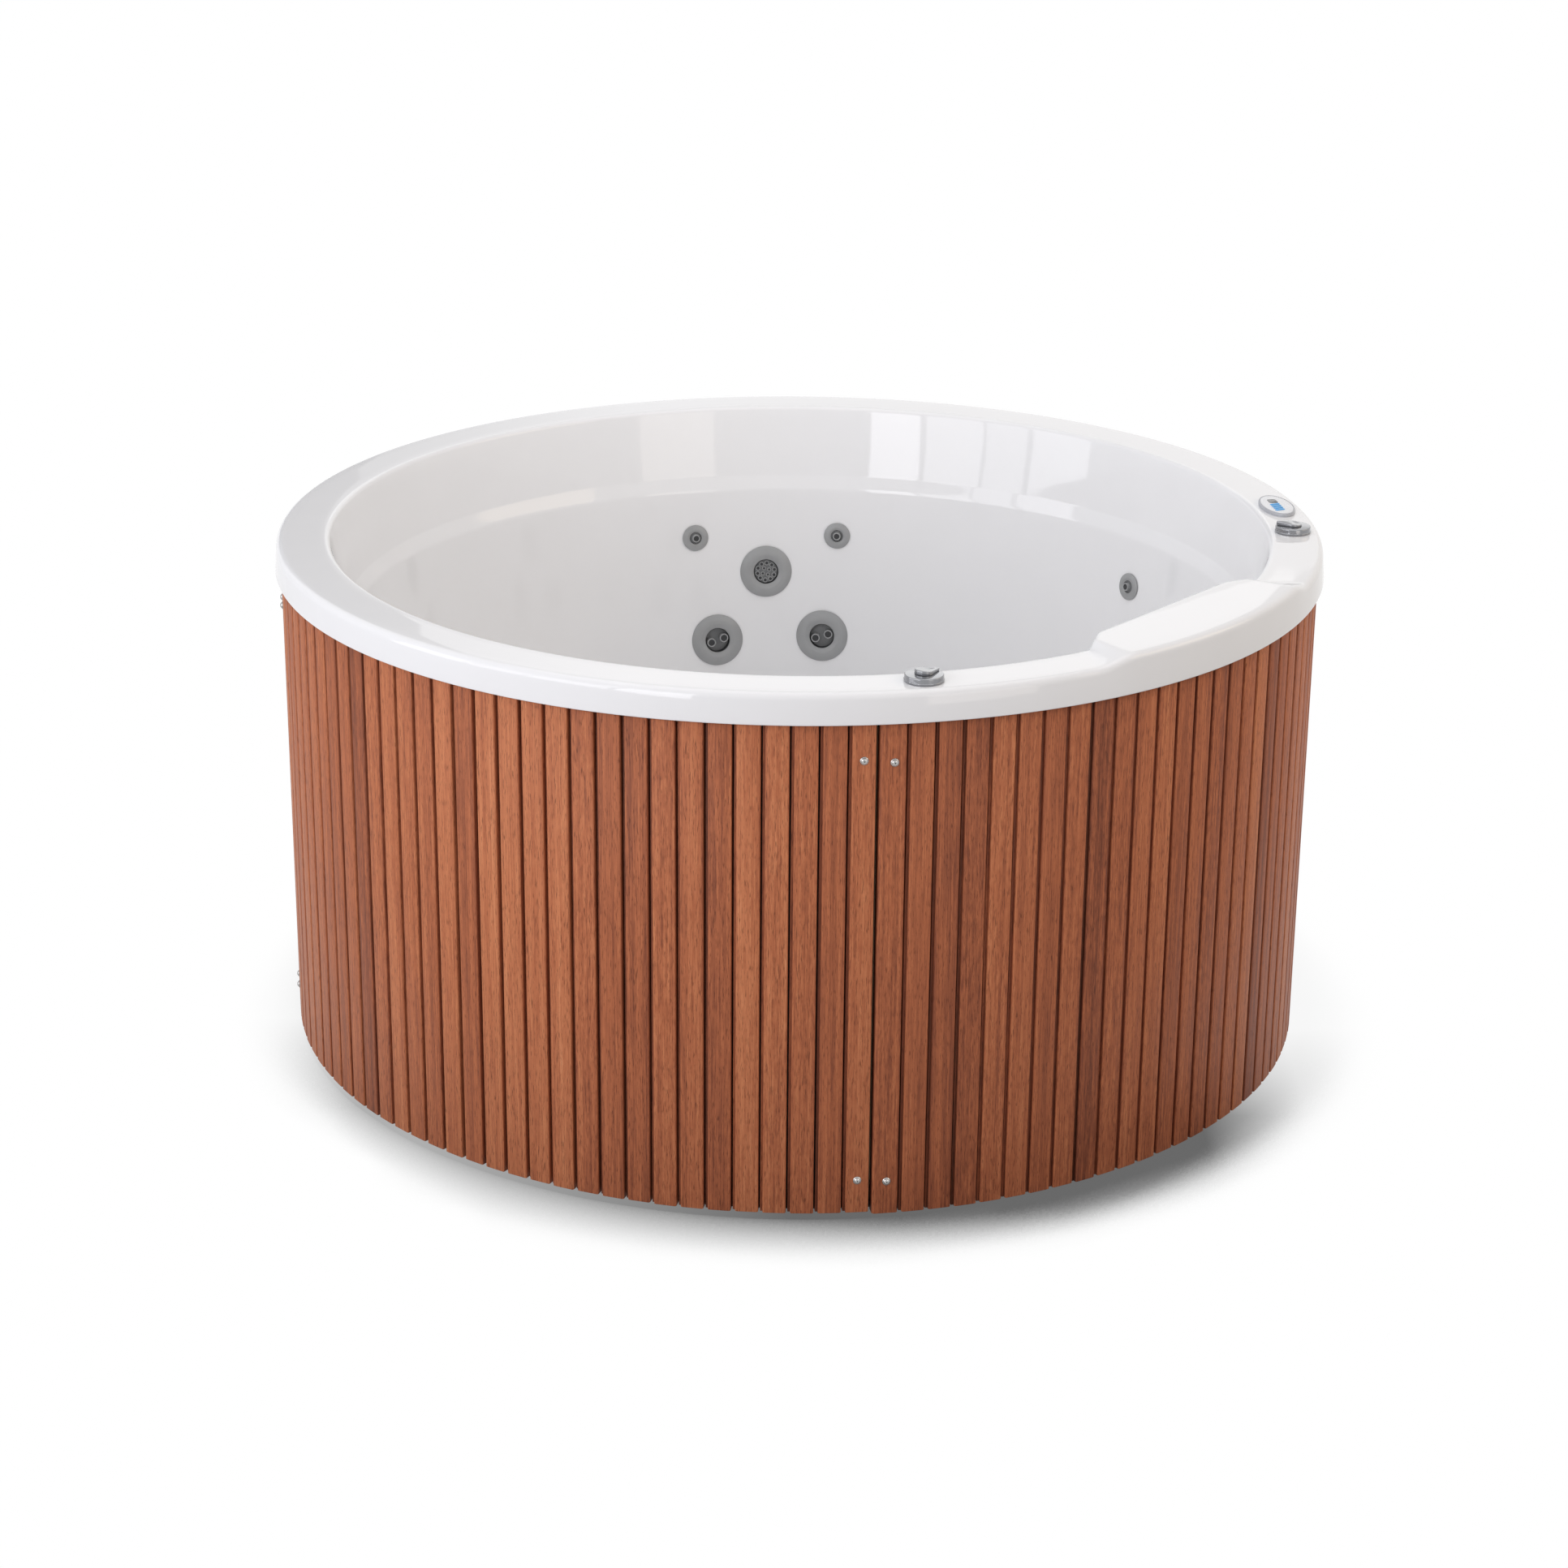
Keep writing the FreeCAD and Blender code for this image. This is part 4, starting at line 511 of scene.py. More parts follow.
# Materials
class Nodes:
    """A node tree that grows by short calls."""

    def __init__(self, tree):
        self.tree = tree

    def feed(self, node, sockets):
        for socket, value in sockets.items():
            target = node.inputs[socket if isinstance(socket, int) else socket.replace("_", " ")]
            if isinstance(value, bpy.types.NodeSocket):
                self.tree.links.new(value, target)
            else:
                target.default_value = value

    def add(self, kind, sockets=None, **settings):
        node = self.tree.nodes.new("ShaderNode" + kind)
        for name, value in settings.items():
            setattr(node, name, value)
        self.feed(node, sockets or {})
        return node

    def math(self, operation, *values):
        return self.add("Math", dict(enumerate(values)), operation=operation).outputs[0]

    def span(self, value, low, high, out_low, out_high, **settings):
        """Map low to out_low and high to out_high, and hold the value between them."""
        sockets = {"Value": value, "From Min": low, "From Max": high}
        sockets.update({"To Min": out_low, "To Max": out_high})
        return self.add("MapRange", sockets, **settings).outputs["Result"]

    def vary(self, noise, low, high):
        return self.span(noise, *NOISE_RANGE, low, high)

    def scaled(self, vector, scale):
        return self.add("VectorMath", {0: vector, 1: scale}, operation="MULTIPLY").outputs[0]

    def position(self, scale=(1, 1, 1)):
        return self.scaled(self.add("TexCoord").outputs["Object"], scale)

    def noise(self, where, scale=1.0, detail=3.0):
        sockets = {"Vector": where, "Scale": scale, "Detail": detail}
        sockets["Roughness"] = NOISE_ROUGHNESS
        return self.add("TexNoise", sockets).outputs["Fac"]

    def ramp(self, value, stops):
        node = self.add("ValToRGB", {"Fac": value})
        for place, colour in stops[1:-1]:
            node.color_ramp.elements.new(place)
        for element, (place, colour) in zip(node.color_ramp.elements, stops):
            element.position = place
            element.color = (*colour, 1.0)
        return node.outputs["Color"]

    def mix(self, share, first, second):
        sockets = {"Fac": share}
        for index, value in ((1, first), (2, second)):
            sockets[index] = value if isinstance(value, bpy.types.NodeSocket) else (*value, 1.0)
        return self.add("MixRGB", sockets).outputs["Color"]

    def bump(self, height, strength, distance, **under):
        sockets = {"Height": height, "Strength": strength, "Distance": distance, **under}
        return self.add("Bump", sockets).outputs["Normal"]

    def seen(self):
        """1 for rays of the camera, of mirrors and through glass, 0 for the rest."""
        path = self.add("LightPath").outputs
        direct = self.math("MAXIMUM", path["Is Camera Ray"], path["Is Glossy Ray"])
        return self.math("MAXIMUM", direct, path["Is Transmission Ray"])

    def end(self, kind, hidden, shown):
        """Send one shader to the rays that are seen and another to the rest."""
        sockets = {0: self.seen(), 1: hidden.outputs[0], 2: shown.outputs[0]}
        choice = self.add("MixShader", sockets)
        self.add(kind, {"Surface": choice.outputs[0]})


class Shader(Nodes):
    """A material built round one principled surface."""

    def __init__(self, name, **sockets):
        self.material = bpy.data.materials.new(name)
        self.material.use_nodes = True
        super().__init__(self.material.node_tree)
        self.surface = self.tree.nodes["Principled BSDF"]
        self.feed(self.surface, sockets)

    def surface_from(self, **sockets):
        self.feed(self.surface, sockets)
        return self.material


def tinted(colour, factor):
    return tuple(min(1.0, channel * factor) for channel in colour)


def acrylic():
    """Vacuum-formed white sheet: glossy, faintly wavy, with the least mottling."""
    shader = Shader("acrylic_white", IOR=1.49)
    where = shader.position()
    cloud = shader.noise(where, scale=9.0, detail=2.0)
    fine = shader.noise(where, scale=420.0, detail=2.0)
    wave = shader.noise(where, scale=7.0, detail=1.0)
    colour = shader.mix(cloud, (0.880, 0.880, 0.884), (0.900, 0.900, 0.905))
    sheen = shader.vary(fine, 0.03, 0.05)
    peel = shader.bump(fine, strength=0.02, distance=0.0003)
    normal = shader.bump(wave, strength=0.10, distance=0.004, Normal=peel)
    return shader.surface_from(Base_Color=colour, Roughness=sheen, Normal=normal)


def wood():
    """Oiled hardwood: each slat has its own tone, darkened by painted shade in its grooves, with long grain and
    short dark pores.
    """
    shader = Shader("oiled_hardwood", IOR=1.45, Specular_IOR_Level=0.18)
    grain = shader.add("Attribute", attribute_name="grain").outputs["Vector"]
    tone = shader.add("Attribute", attribute_name="tone").outputs["Fac"]
    figure = shader.add("Attribute", attribute_name="figure").outputs["Fac"]

    def streaks(across, along, detail):
        return shader.noise(shader.scaled(grain, (1 / across, 1 / across, 1 / along)), detail=detail)

    growth = streaks(across=0.011, along=0.9, detail=3.0)
    fibres = streaks(across=0.0024, along=0.11, detail=4.0)
    ribbon = streaks(across=0.004, along=0.022, detail=3.0)
    pores = streaks(across=0.0013, along=0.016, detail=2.0)
    shade = tone
    for pattern, weight in ((growth, 0.55), (fibres, 0.72), (ribbon, figure)):
        swing = shader.math("SUBTRACT", pattern, NOISE_MIDDLE)
        shade = shader.math("ADD", shade, shader.math("MULTIPLY", swing, weight))
    colour = shader.ramp(shade, (
        (0.0, (0.092, 0.033, 0.019)),
        (0.3, (0.257, 0.079, 0.040)),
        (0.55, (0.458, 0.146, 0.065)),
        (0.8, (0.615, 0.227, 0.103)),
        (1.0, (0.715, 0.322, 0.166)),
    ))
    open_pores = shader.span(pores, 0.56, 0.68, 0.0, 0.62)
    colour = shader.mix(open_pores, colour, (0.085, 0.026, 0.015))
    gloss = shader.vary(fibres, 0.44, 0.58)
    height = shader.math("SUBTRACT", fibres, open_pores)
    normal = shader.bump(height, strength=0.25, distance=0.0006)
    return shader.surface_from(Base_Color=colour, Roughness=gloss, Normal=normal)


def sawn_timber():
    """Rough-sawn softwood of the hidden frame."""
    shader = Shader("sawn_timber", IOR=1.45)
    lines = shader.noise(shader.position((60, 60, 4)), detail=4.0)
    colour = shader.ramp(lines, (
        (0.3, (0.36, 0.24, 0.13)),
        (0.5, (0.55, 0.40, 0.24)),
        (0.7, (0.66, 0.52, 0.34)),
    ))
    rough = shader.vary(lines, 0.6, 0.8)
    normal = shader.bump(lines, strength=0.3, distance=0.001)
    return shader.surface_from(Base_Color=colour, Roughness=rough, Normal=normal)


def moulded(name, colour, rough, grain=900.0, variation=0.10, metallic=0.0, coat=0.0):
    """Moulded plastic, rubber or paint: faint clouds of tone and a fine skin."""
    shader = Shader(name, IOR=1.47, Metallic=metallic, Coat_Weight=coat)
    where = shader.position()
    cloud = shader.noise(where, scale=26.0)
    skin = shader.noise(where, scale=grain, detail=2.0)
    tint = shader.mix(cloud, tinted(colour, 1 - variation), tinted(colour, 1 + variation))
    gloss = shader.vary(skin, rough * 0.85, min(1.0, rough * 1.15))
    normal = shader.bump(skin, strength=0.06, distance=0.0004)
    return shader.surface_from(Base_Color=tint, Roughness=gloss, Normal=normal)


def metal(name, colour, rough):
    """Turned or drawn steel with fine scratches."""
    shader = Shader(name, Metallic=1.0)
    lines = shader.noise(shader.position((1400, 1400, 160)), detail=2.0)
    tint = shader.mix(lines, tinted(colour, 0.86), colour)
    gloss = shader.vary(lines, rough * 0.8, rough * 1.3)
    normal = shader.bump(lines, strength=0.04, distance=0.0002)
    return shader.surface_from(Base_Color=tint, Roughness=gloss, Normal=normal)


def valve_silver():
    """Silver paint under a clear coat."""
    silver = (0.235, 0.24, 0.255)
    return moulded("valve_silver", silver, 0.14, grain=1600.0, variation=0.06, metallic=0.6, coat=0.9)


def motor_paint():
    return moulded("motor_paint", (0.16, 0.17, 0.18), 0.4, grain=500.0, variation=0.12, metallic=0.3)


materials = {
    "acrylic": acrylic(),
    "wood": wood(),
    "timber": sawn_timber(),
    "liner": moulded("liner_brown", (0.030, 0.016, 0.012), 0.7),
    "steel": metal("stainless_steel", (0.45, 0.44, 0.43), 0.24),
    "rubber": moulded("black_rubber", (0.025, 0.025, 0.026), 0.75, grain=1500.0),
    "tray": moulded("tray_black", (0.045, 0.046, 0.048), 0.55),
    "jet_grey": moulded("jet_grey", (0.345, 0.350, 0.352), 0.42),
    # Darker copy of the jet grey: painted shade on the recessed nozzle plates and the swivel balls
    "jet_grey_painted_shade": moulded("jet_plate_painted_shade", (0.215, 0.220, 0.222), 0.45),
    # Near-black: painted shade in the bores and deep in the jet throats
    "jet_painted_shade": moulded("jet_throat_painted_shade", (0.035, 0.036, 0.038), 0.5),
    "valve_silver": valve_silver(),
    "pipe": moulded("pipe_white", (0.74, 0.74, 0.72), 0.4),
    "hose": moulded("hose_grey", (0.50, 0.52, 0.53), 0.45),
    "pump_black": moulded("pump_black", (0.035, 0.035, 0.038), 0.45),
    "motor": motor_paint(),
    "box_grey": moulded("box_grey", (0.34, 0.35, 0.36), 0.5),
    "panel_grey": moulded("panel_grey", (0.44, 0.45, 0.48), 0.3),
    "panel_white": moulded("panel_white", (0.80, 0.81, 0.83), 0.28, variation=0.03),
    "display": moulded("display_dark", (0.075, 0.078, 0.082), 0.12, grain=300.0, variation=0.15),
    "key_blue": moulded("key_blue", (0.085, 0.40, 0.80), 0.35, variation=0.08),
    "drain_red": moulded("drain_red", (0.50, 0.045, 0.035), 0.4),
}
slot_of = {row["node"]: row["material_slot"] for row in frame["record"]["subparts"]}
for node, item in frame["nodes"].items():
    item.data.materials.clear()
    item.data.materials.append(materials[slot_of[node]])
# The jet bodies behind the throats wear near-black: painted shade deep in the throats
for node in ("large_jet_bodies", "small_jet_bodies"):
    frame["nodes"][node].data.materials[0] = materials["jet_painted_shade"]


# Acrylic shell: one dense turned wall with the headrest moulded into its rim
def headrest_shift(bearing, radius, height):
    """How far the headrest carries a point of the shell inward and upward."""
    side = abs((bearing - HEADREST_BEARING + 180) % 360 - 180)
    if side > HEADREST_OUTER_HALF or height < HEADREST_FOOT or radius < STEP_FOOT[0]:
        return 0.0, 0.0
    across = clamp((radius - RIM_INNER) / (HEADREST_EDGE - RIM_INNER))
    chord = HEADREST_CHORD / math.cos(math.radians(side))
    reach = (RIM_INNER - chord) * ease((HEADREST_HALF - side) / (HEADREST_HALF - HEADREST_FULL))
    half = HEADREST_HALF + (HEADREST_OUTER_HALF - HEADREST_HALF) * across
    end = HEADREST_END + (HEADREST_OUTER_END - HEADREST_END) * across
    rise = HEADREST_RISE * ease((half - side) / end)
    foot = HEADREST_FOOT if radius < RIM_INNER + 2 * SHELL_WALL else SKIRT_BOTTOM
    climb = clamp((height - foot) / (RIM_TOP - SHELL_WALL - foot))
    return reach * (1 - across) * climb, rise * climb


def subdivided(points, longest):
    """Add points on long straight runs."""
    result = []
    for first, second in zip(points, points[1:]):
        count = max(1, math.ceil(math.dist(first, second) / longest))
        for step in range(count):
            share = step / count
            result.append(tuple(a + (b - a) * share for a, b in zip(first, second)))
    return result + [points[-1]]


def shell_profile():
    """The wet side from the footwell up and over the rim, then the dry side back down."""
    wall = SHELL_WALL
    wet = [
        (0.0, FOOTWELL_EDGE[1]),
        (*FOOTWELL_EDGE, FOOTWELL_ROUND),
        (*SEAT_NOSE, SEAT_NOSE_ROUND),
        (*SEAT_BACK, SEAT_BACK_ROUND),
        (*STEP_FOOT, STEP_ROUND),
        (*UPPER_WALL_FOOT, UPPER_WALL_ROUND),
        (RIM_INNER, RIM_TOP, RIM_INNER_ROUND),
        (SKIRT_TOP_RADIUS, RIM_TOP, RIM_OUTER_ROUND),
        (SKIRT_RADIUS, SKIRT_BOTTOM, SKIRT_ROUND),
    ]
    dry = [
        (SKIRT_RADIUS - wall, SKIRT_BOTTOM, SKIRT_ROUND),
        (SKIRT_TOP_RADIUS - wall, RIM_TOP - wall, RIM_OUTER_ROUND - wall),
        (RIM_INNER + wall, RIM_TOP - wall, RIM_INNER_ROUND - wall),
        (UPPER_WALL_FOOT[0] + wall, UPPER_WALL_FOOT[1] - wall / 2, UPPER_WALL_ROUND - wall),
        (STEP_FOOT[0] + wall, STEP_FOOT[1] - wall / 2, STEP_ROUND - wall),
        (SEAT_BACK[0] + wall, SEAT_BACK[1] - wall, SEAT_BACK_ROUND + wall),
        (SEAT_NOSE[0] + wall, SEAT_NOSE[1] - wall, SEAT_NOSE_ROUND - wall),
        (FOOTWELL_EDGE[0] + wall, FOOTWELL_EDGE[1] - wall, FOOTWELL_ROUND + wall),
        (0.0, FOOTWELL_EDGE[1] - wall),
    ]
    return subdivided(rounded(wet + dry), PROFILE_STEP)


def shell_bearings():
    """Bearings of the shell's points, close together at the headrest."""
    bearings = []
    bearing = 0.0
    while bearing < 360:
        bearings.append(bearing)
        side = abs(bearing + HEADREST_STEP - HEADREST_BEARING)
        bearing += HEADREST_STEP if side < HEADREST_OUTER_HALF + BEARING_STEP else BEARING_STEP
    return bearings


def shell_form():
    profile = shell_profile()
    bearings = shell_bearings()
    count = len(bearings)
    points = []
    rings = []
    for radius, height in profile:
        if radius == 0:
            rings.append([len(points)] * count)
            points.append((0, 0, height))
            continue
        rings.append(list(range(len(points), len(points) + count)))
        for bearing in bearings:
            inward, upward = headrest_shift(bearing, radius, height)
            points.append(tuple(around(bearing, radius - inward, height + upward)))
    return points, bands(rings)


def wall_place(point):
    """A frame on the seat back: local X along the round, Y up the wall, Z into the tub."""
    out = around(bearing_of(point), 1, 0)
    inward = (Vector((0, 0, 1)) * math.sin(draft) - out * math.cos(draft)).normalized()
    climb = (Vector((0, 0, 1)) * math.cos(draft) + out * math.sin(draft)).normalized()
    along = climb.cross(inward)
    turn = Matrix((along, climb, inward)).transposed().to_4x4()
    return Matrix.Translation(point) @ turn


def jet_places(start):
    """Frames of the jets whose joints begin with a word, in the order of their names."""
    names = sorted(name for name in joints if name.startswith(start))
    return [wall_place(Vector(joints[name]["pos_m"])) for name in names]


def shell_drills():
    """Cutters of the holes for the jets, suctions, valves and control panel."""
    drills = Form()

    def bore(radius, place):
        drills.add(lathe(rod(radius, -DRILL_REACH, DRILL_REACH), steps=48), place)

    for place in jet_places("twin") + jet_places("cluster"):
        bore(LARGE_JET_HOLE, place)
    for place in jet_places("small"):
        bore(SMALL_JET_HOLE, place)
    run = SEAT_NOSE[0] - FOOTWELL_EDGE[0]
    climb = SEAT_NOSE[1] - FOOTWELL_EDGE[1]
    lean = Matrix.Rotation(-math.atan2(run, climb), 4, "X")
    radius = FOOTWELL_EDGE[0] + (SUCTION_HEIGHT - FOOTWELL_EDGE[1]) / climb * run
    for bearing in SUCTION_BEARINGS:
        bore(SUCTION_HOLE, outward(bearing, radius, SUCTION_HEIGHT) @ lean)
    for label in LEVERS:
        bore(VALVE_HOLE, Matrix.Translation(joints[label + "_lever_turn"]["pos_m"]))
    rings = [ellipse(*PANEL_HOLE, height, count=64) for height in (-DRILL_REACH, DRILL_REACH)]
    drills.add(loft(rings), upright(PANEL_BEARING, CONTROL_CIRCLE, RIM_TOP))
    return drills


shell_mesh = carved(Form().add(shell_form()), shell_drills(), "tub_shell")
piece("tub_shell", shell_mesh, "acrylic", ["acrylic_shell"])


# Cladding: 128 tongued slats in four panels, each slat a little different
slat_pitch = (PANEL_SPAN - SEAM_GAP) / SLATS_PER_PANEL
slat_face = 2 * WOOD_RADIUS * math.tan(math.radians(slat_pitch / 2)) - SLAT_GROOVE
slat_back = WOOD_RADIUS - SLAT_THICKNESS


def slat_outline(inset, first):
    """Section of a slat with its tongue; a panel's first slat has a wide round edge instead."""
    half = slat_face / 2 - inset
    front = WOOD_RADIUS - inset
    ledge = WOOD_RADIUS - TONGUE_RECESS - inset
    if first:
        tongued = [(half + SEAM_LIP, slat_back), (half + SEAM_LIP, front, SEAM_LIP)]
    else:
        tongued = [
            (half + TONGUE, slat_back),
            (half + TONGUE, ledge, TONGUE_EDGE),
            (half, ledge),
            (half, front, SLAT_EDGE),
        ]
    return rounded(tongued + [(-half, front, SLAT_EDGE), (-half, slat_back)], 4, closed=True)


def slat_form(foot, top, proud, first):
    """A slat with bevelled ends, moved outward by proud."""
    sections = []
    levels = ((foot, SLAT_END), (foot + SLAT_END, 0.0), (top - SLAT_END, 0.0), (top, SLAT_END))
    for height, inset in levels:
        sections.append([(x, y + proud, height) for x, y in slat_outline(inset, first)])
    return loft(sections)


def cladding_panel(label, seam, sag, seed):
    draw = random.Random(seed)
    form = Form()
    darkest, palest = TONE_LIMITS
    for index in range(SLATS_PER_PANEL):
        bearing = seam - SEAM_GAP / 2 - slat_pitch / 2 - index * slat_pitch
        foot = SLAT_FOOT - sag + draw.uniform(0.0, FOOT_SCATTER)
        proud = draw.uniform(-FRONT_SCATTER, 0.0)
        solid = slat_form(foot, SLAT_TOP - sag, proud, index == 0)
        shift = [draw.uniform(0, GRAIN_SPREAD) for axis in range(3)]
        drawn = min(palest, max(darkest, draw.gauss(PANEL_TONES[label], TONE_SCATTER)))
        tone = SLAT_TONES.get(label, {}).get(index, drawn)
        figure = draw.choice(FIGURES)
        grain = []
        groove_shaded_tones = []
        for x, y, z in solid[0]:
            grain.append((x + shift[0], y + shift[1], z + shift[2]))
            # The tone darkens toward the tongue recess: painted shade in the grooves
            groove_shaded_tones.append(tone - GROOVE_SHADE * ease((WOOD_RADIUS - y) / TONGUE_RECESS))
        place = Matrix.Rotation(-math.radians(bearing), 4, "Z")
        form.add(solid, place, grain=grain, tone=groove_shaded_tones, figure=[figure] * len(groove_shaded_tones))
    form.piece(label + "_slats", "wood", [label], sharp=SOFT_CREASE)


for number, panel in enumerate(PANEL_TONES):
    panel_sag = 0 if number else PANEL_SAG
    cladding_panel(panel, SEAM_BEARING - PANEL_SPAN * number, panel_sag, FIRST_SEED + number)


# Screws with cup washers beside each seam
def washer_profile():
    return rounded([
        (WASHER_BORE, 0.0),
        (WASHER_RADIUS, 0.0, 0.0003),
        (HEAD_RADIUS + HEAD_GAP, WASHER_CREST, 0.0006),
        (WASHER_BORE, WASHER_SEAT),
    ], 4, closed=True)


def screw_profile():
    """Shank, domed head and a socket sunk in the dome."""
    profile = [
        (0.0, -SHANK_LENGTH),
        (SHANK_RADIUS, -SHANK_LENGTH),
        (SHANK_RADIUS, HEAD_FOOT),
        (HEAD_RADIUS, HEAD_FOOT),
    ]
    steps = 8
    for step in range(steps + 1):
        angle = math.radians(HEAD_SWEEP) * step / steps
        profile.append((HEAD_RADIUS * math.cos(angle), HEAD_EDGE + HEAD_DOME * math.sin(angle)))
    return profile + [
        (SOCKET_RADIUS, SOCKET_CREST),
        (SOCKET_RADIUS * 0.94, SOCKET_MOUTH),
        (SOCKET_RADIUS * 0.9, SOCKET_FLOOR),
        (0.0, SOCKET_TIP),
    ]


def fasteners():
    washers = Form()
    screws = Form()
    for number in range(len(PANEL_TONES)):
        for side in (-1, 1):
            seam = SEAM_BEARING - PANEL_SPAN * number
            bearing = seam + side * (SEAM_GAP / 2 + slat_pitch / 2)
            sag = PANEL_SAG if SEAM_BEARING - PANEL_SPAN < bearing < SEAM_BEARING else 0
            for height in SCREW_HEIGHTS:
                place = outward(bearing, WOOD_RADIUS, height - sag)
                washers.add(lathe(washer_profile(), steps=32), place)
                screws.add(lathe(screw_profile(), steps=32), place)
    washers.piece("cup_washers", "steel", ["cladding_washers"])
    screws.piece("dome_screws", "steel", ["cladding_screws"])


fasteners()


# Jets: smooth dished faces, spinning twin nozzles, pierced inserts and swivelling nozzles
def jet_face(radius, crown, throat, height):
    """Section of a face: hollow back, thin edge, and a crown that falls to the throat."""
    edge_foot, edge_top = FACE_EDGE
    back_outside, back_inside = FACE_BACK
    return rounded([
        (throat, back_inside),
        (radius - FACE_BORDER, back_outside),
        (radius, edge_foot, 0.0008),
        (radius, edge_top, 0.0012),
        (crown + (radius - crown) * 0.40, height * 0.93, 0.020),
        (crown, height, 0.010),
        (throat + THROAT_FLARE, height * 0.66, 0.0015),
        (throat, THROAT_MOUTH),
    ], 8, closed=True)


def jet_faces(name, node, places, face, steps):
    form = Form()
    for place in places:
        form.add(lathe(jet_face(*face), steps), place)
    form.piece(name, "jet_grey", [node], sharp=SOFT_CREASE)


def jet_plate(node, place, radius, foot, top):
    """The disc that carries the nozzles of a large jet, worn in a darker jet grey that paints the shade of its
    recess.
    """
    disc = rounded([(0.0, foot), (radius, foot), (radius, top, PLATE_EDGE), (0.0, top)], 4)
    plate = Form().add(lathe(disc, steps=72), place)
    plate.piece(node + "_plate", "jet_grey", [], body=node, look="jet_grey_painted_shade")


def tube(outer, bore, foot, top):
    """A rimmed open nozzle."""
    return rounded([
        (bore, foot),
        (outer, foot),
        (outer, top, 0.0007),
        (bore, top, 0.0006),
    ], 4, closed=True)


def nozzles(node, place, spots):
    """Set rimmed nozzles on a moving piece, each bore holding a dark plug of painted shade; each spot is (x, y,
    nozzle).
    """
    rims = Form()
    bore_shade_plugs = Form()
    for x, y, (outer, bore, foot, top, depth) in spots:
        spot = place @ Matrix.Translation((x, y, 0))
        rims.add(lathe(tube(outer, bore, foot, top), steps=40), spot)
        # A dark plug inside each bore: painted shade
        bore_shade_plugs.add(lathe(rod(bore - BORE_GAP, foot, top - depth), steps=24), spot)
    rims.piece(node + "_nozzles", "jet_grey", [node], body=node)
    bore_shade_plugs.piece(node + "_bores", "jet_grey", [], body=node, look="jet_painted_shade")


def twin_jets(places):
    tilt = math.radians(TWIN_TILT)
    spots = [(*polar(side * TWIN_SPREAD, tilt), TWIN_NOZZLE) for side in (-1, 1)]
    for number, place in enumerate(places, 1):
        node = f"twin_jet_rotor_{number}"
        jet_plate(node, place, *TWIN_PLATE)
        nozzles(node, place, spots)


def cluster_jets(places):
    spots = []
    for count, circle, nozzle in CLUSTER_RINGS:
        for index in range(count):
            angle = 2 * math.pi * (index + CLUSTER_START) / count
            spots.append((*polar(circle, angle), nozzle))
    for number, place in enumerate(places, 1):
        node = f"cluster_jet_insert_{number}"
        jet_plate(node, place, *CLUSTER_PLATE)
        nozzles(node, place, spots)


def small_jets(places):
    arc = [polar(BALL_RADIUS, turn) for turn in np.linspace(*BALL_ARC, BALL_POINTS)]
    profile = [(BALL_BORE, arc[0][1])] + arc + [(BALL_BORE, arc[-1][1])]
    for number, place in enumerate(places, 1):
        node = f"small_jet_nozzle_{number}"
        ball = Form().add(lathe(profile, steps=48), place)
        # The ball wears the darker jet grey: painted shade round the nozzle
        ball.piece(node + "_ball", "jet_grey", [], body=node, look="jet_grey_painted_shade")
        nozzles(node, place, [(0.0, 0.0, SMALL_NOZZLE)])


twins, clusters, smalls = [jet_places(start) for start in ("twin", "cluster", "small")]
jet_faces("large_jet_dishes", "large_jet_faces", clusters + twins, LARGE_FACE, steps=96)
jet_faces("small_jet_dishes", "small_jet_faces", smalls, SMALL_FACE, steps=72)
twin_jets(twins)
cluster_jets(clusters)
small_jets(smalls)


# Rim valves: a turned ring on the rim and a lever with a raised leaf
def teardrop(hub, reach, tip, count=64):
    """Outline of a round hub drawn out to a blunt nose along -Y."""
    lean = math.acos((hub - tip) / (reach - tip))
    points = []
    spread = math.pi - lean
    hub_count = count * 2 // 3
    for step in range(hub_count):
        angle = -spread + 2 * spread * step / (hub_count - 1)
        points.append((hub * math.sin(angle), hub * math.cos(angle)))
    tip_count = count - hub_count
    for step in range(tip_count):
        angle = spread + 2 * (math.pi - spread) * step / (tip_count - 1)
        points.append((tip * math.sin(angle), -(reach - tip) + tip * math.cos(angle)))
    return points


def raised(outline, levels, nose_low):
    """Stack scaled copies of an outline, each of which dips toward its low end."""
    ends = [y for x, y in outline]
    low, high = (min(ends), max(ends)) if nose_low else (max(ends), min(ends))
    sections = []
    for height, scale, dip in levels:
        section = []
        for x, y in outline:
            section.append((x * scale, y * scale, height - dip * (high - y) / (high - low)))
        sections.append(section)
    return loft(sections)


def valve(label, turn, nose_low):
    pos = Vector(joints[label + "_lever_turn"]["pos_m"])
    place = upright(bearing_of(pos), CONTROL_CIRCLE, RIM_TOP)
    ring = Form().add(lathe(rounded(VALVE_RING, 6), steps=96), place)
    ring.piece(label + "_ring", "valve_silver", [label + "_body"])
    node = label + "_lever"
    swing = Matrix.Rotation(math.radians(turn), 4, "Z")
    outline = teardrop(LEAF_HUB, LEAF_REACH, LEAF_TIP)
    leaf = Form().add(raised(outline, LEAF_LEVELS, nose_low), place @ swing)
    leaf.piece(node + "_leaf", "valve_silver", [node], body=node, sharp=LEAF_CREASE)


for label, (rest_turn, low_nose) in LEVERS.items():
    valve(label, rest_turn, low_nose)


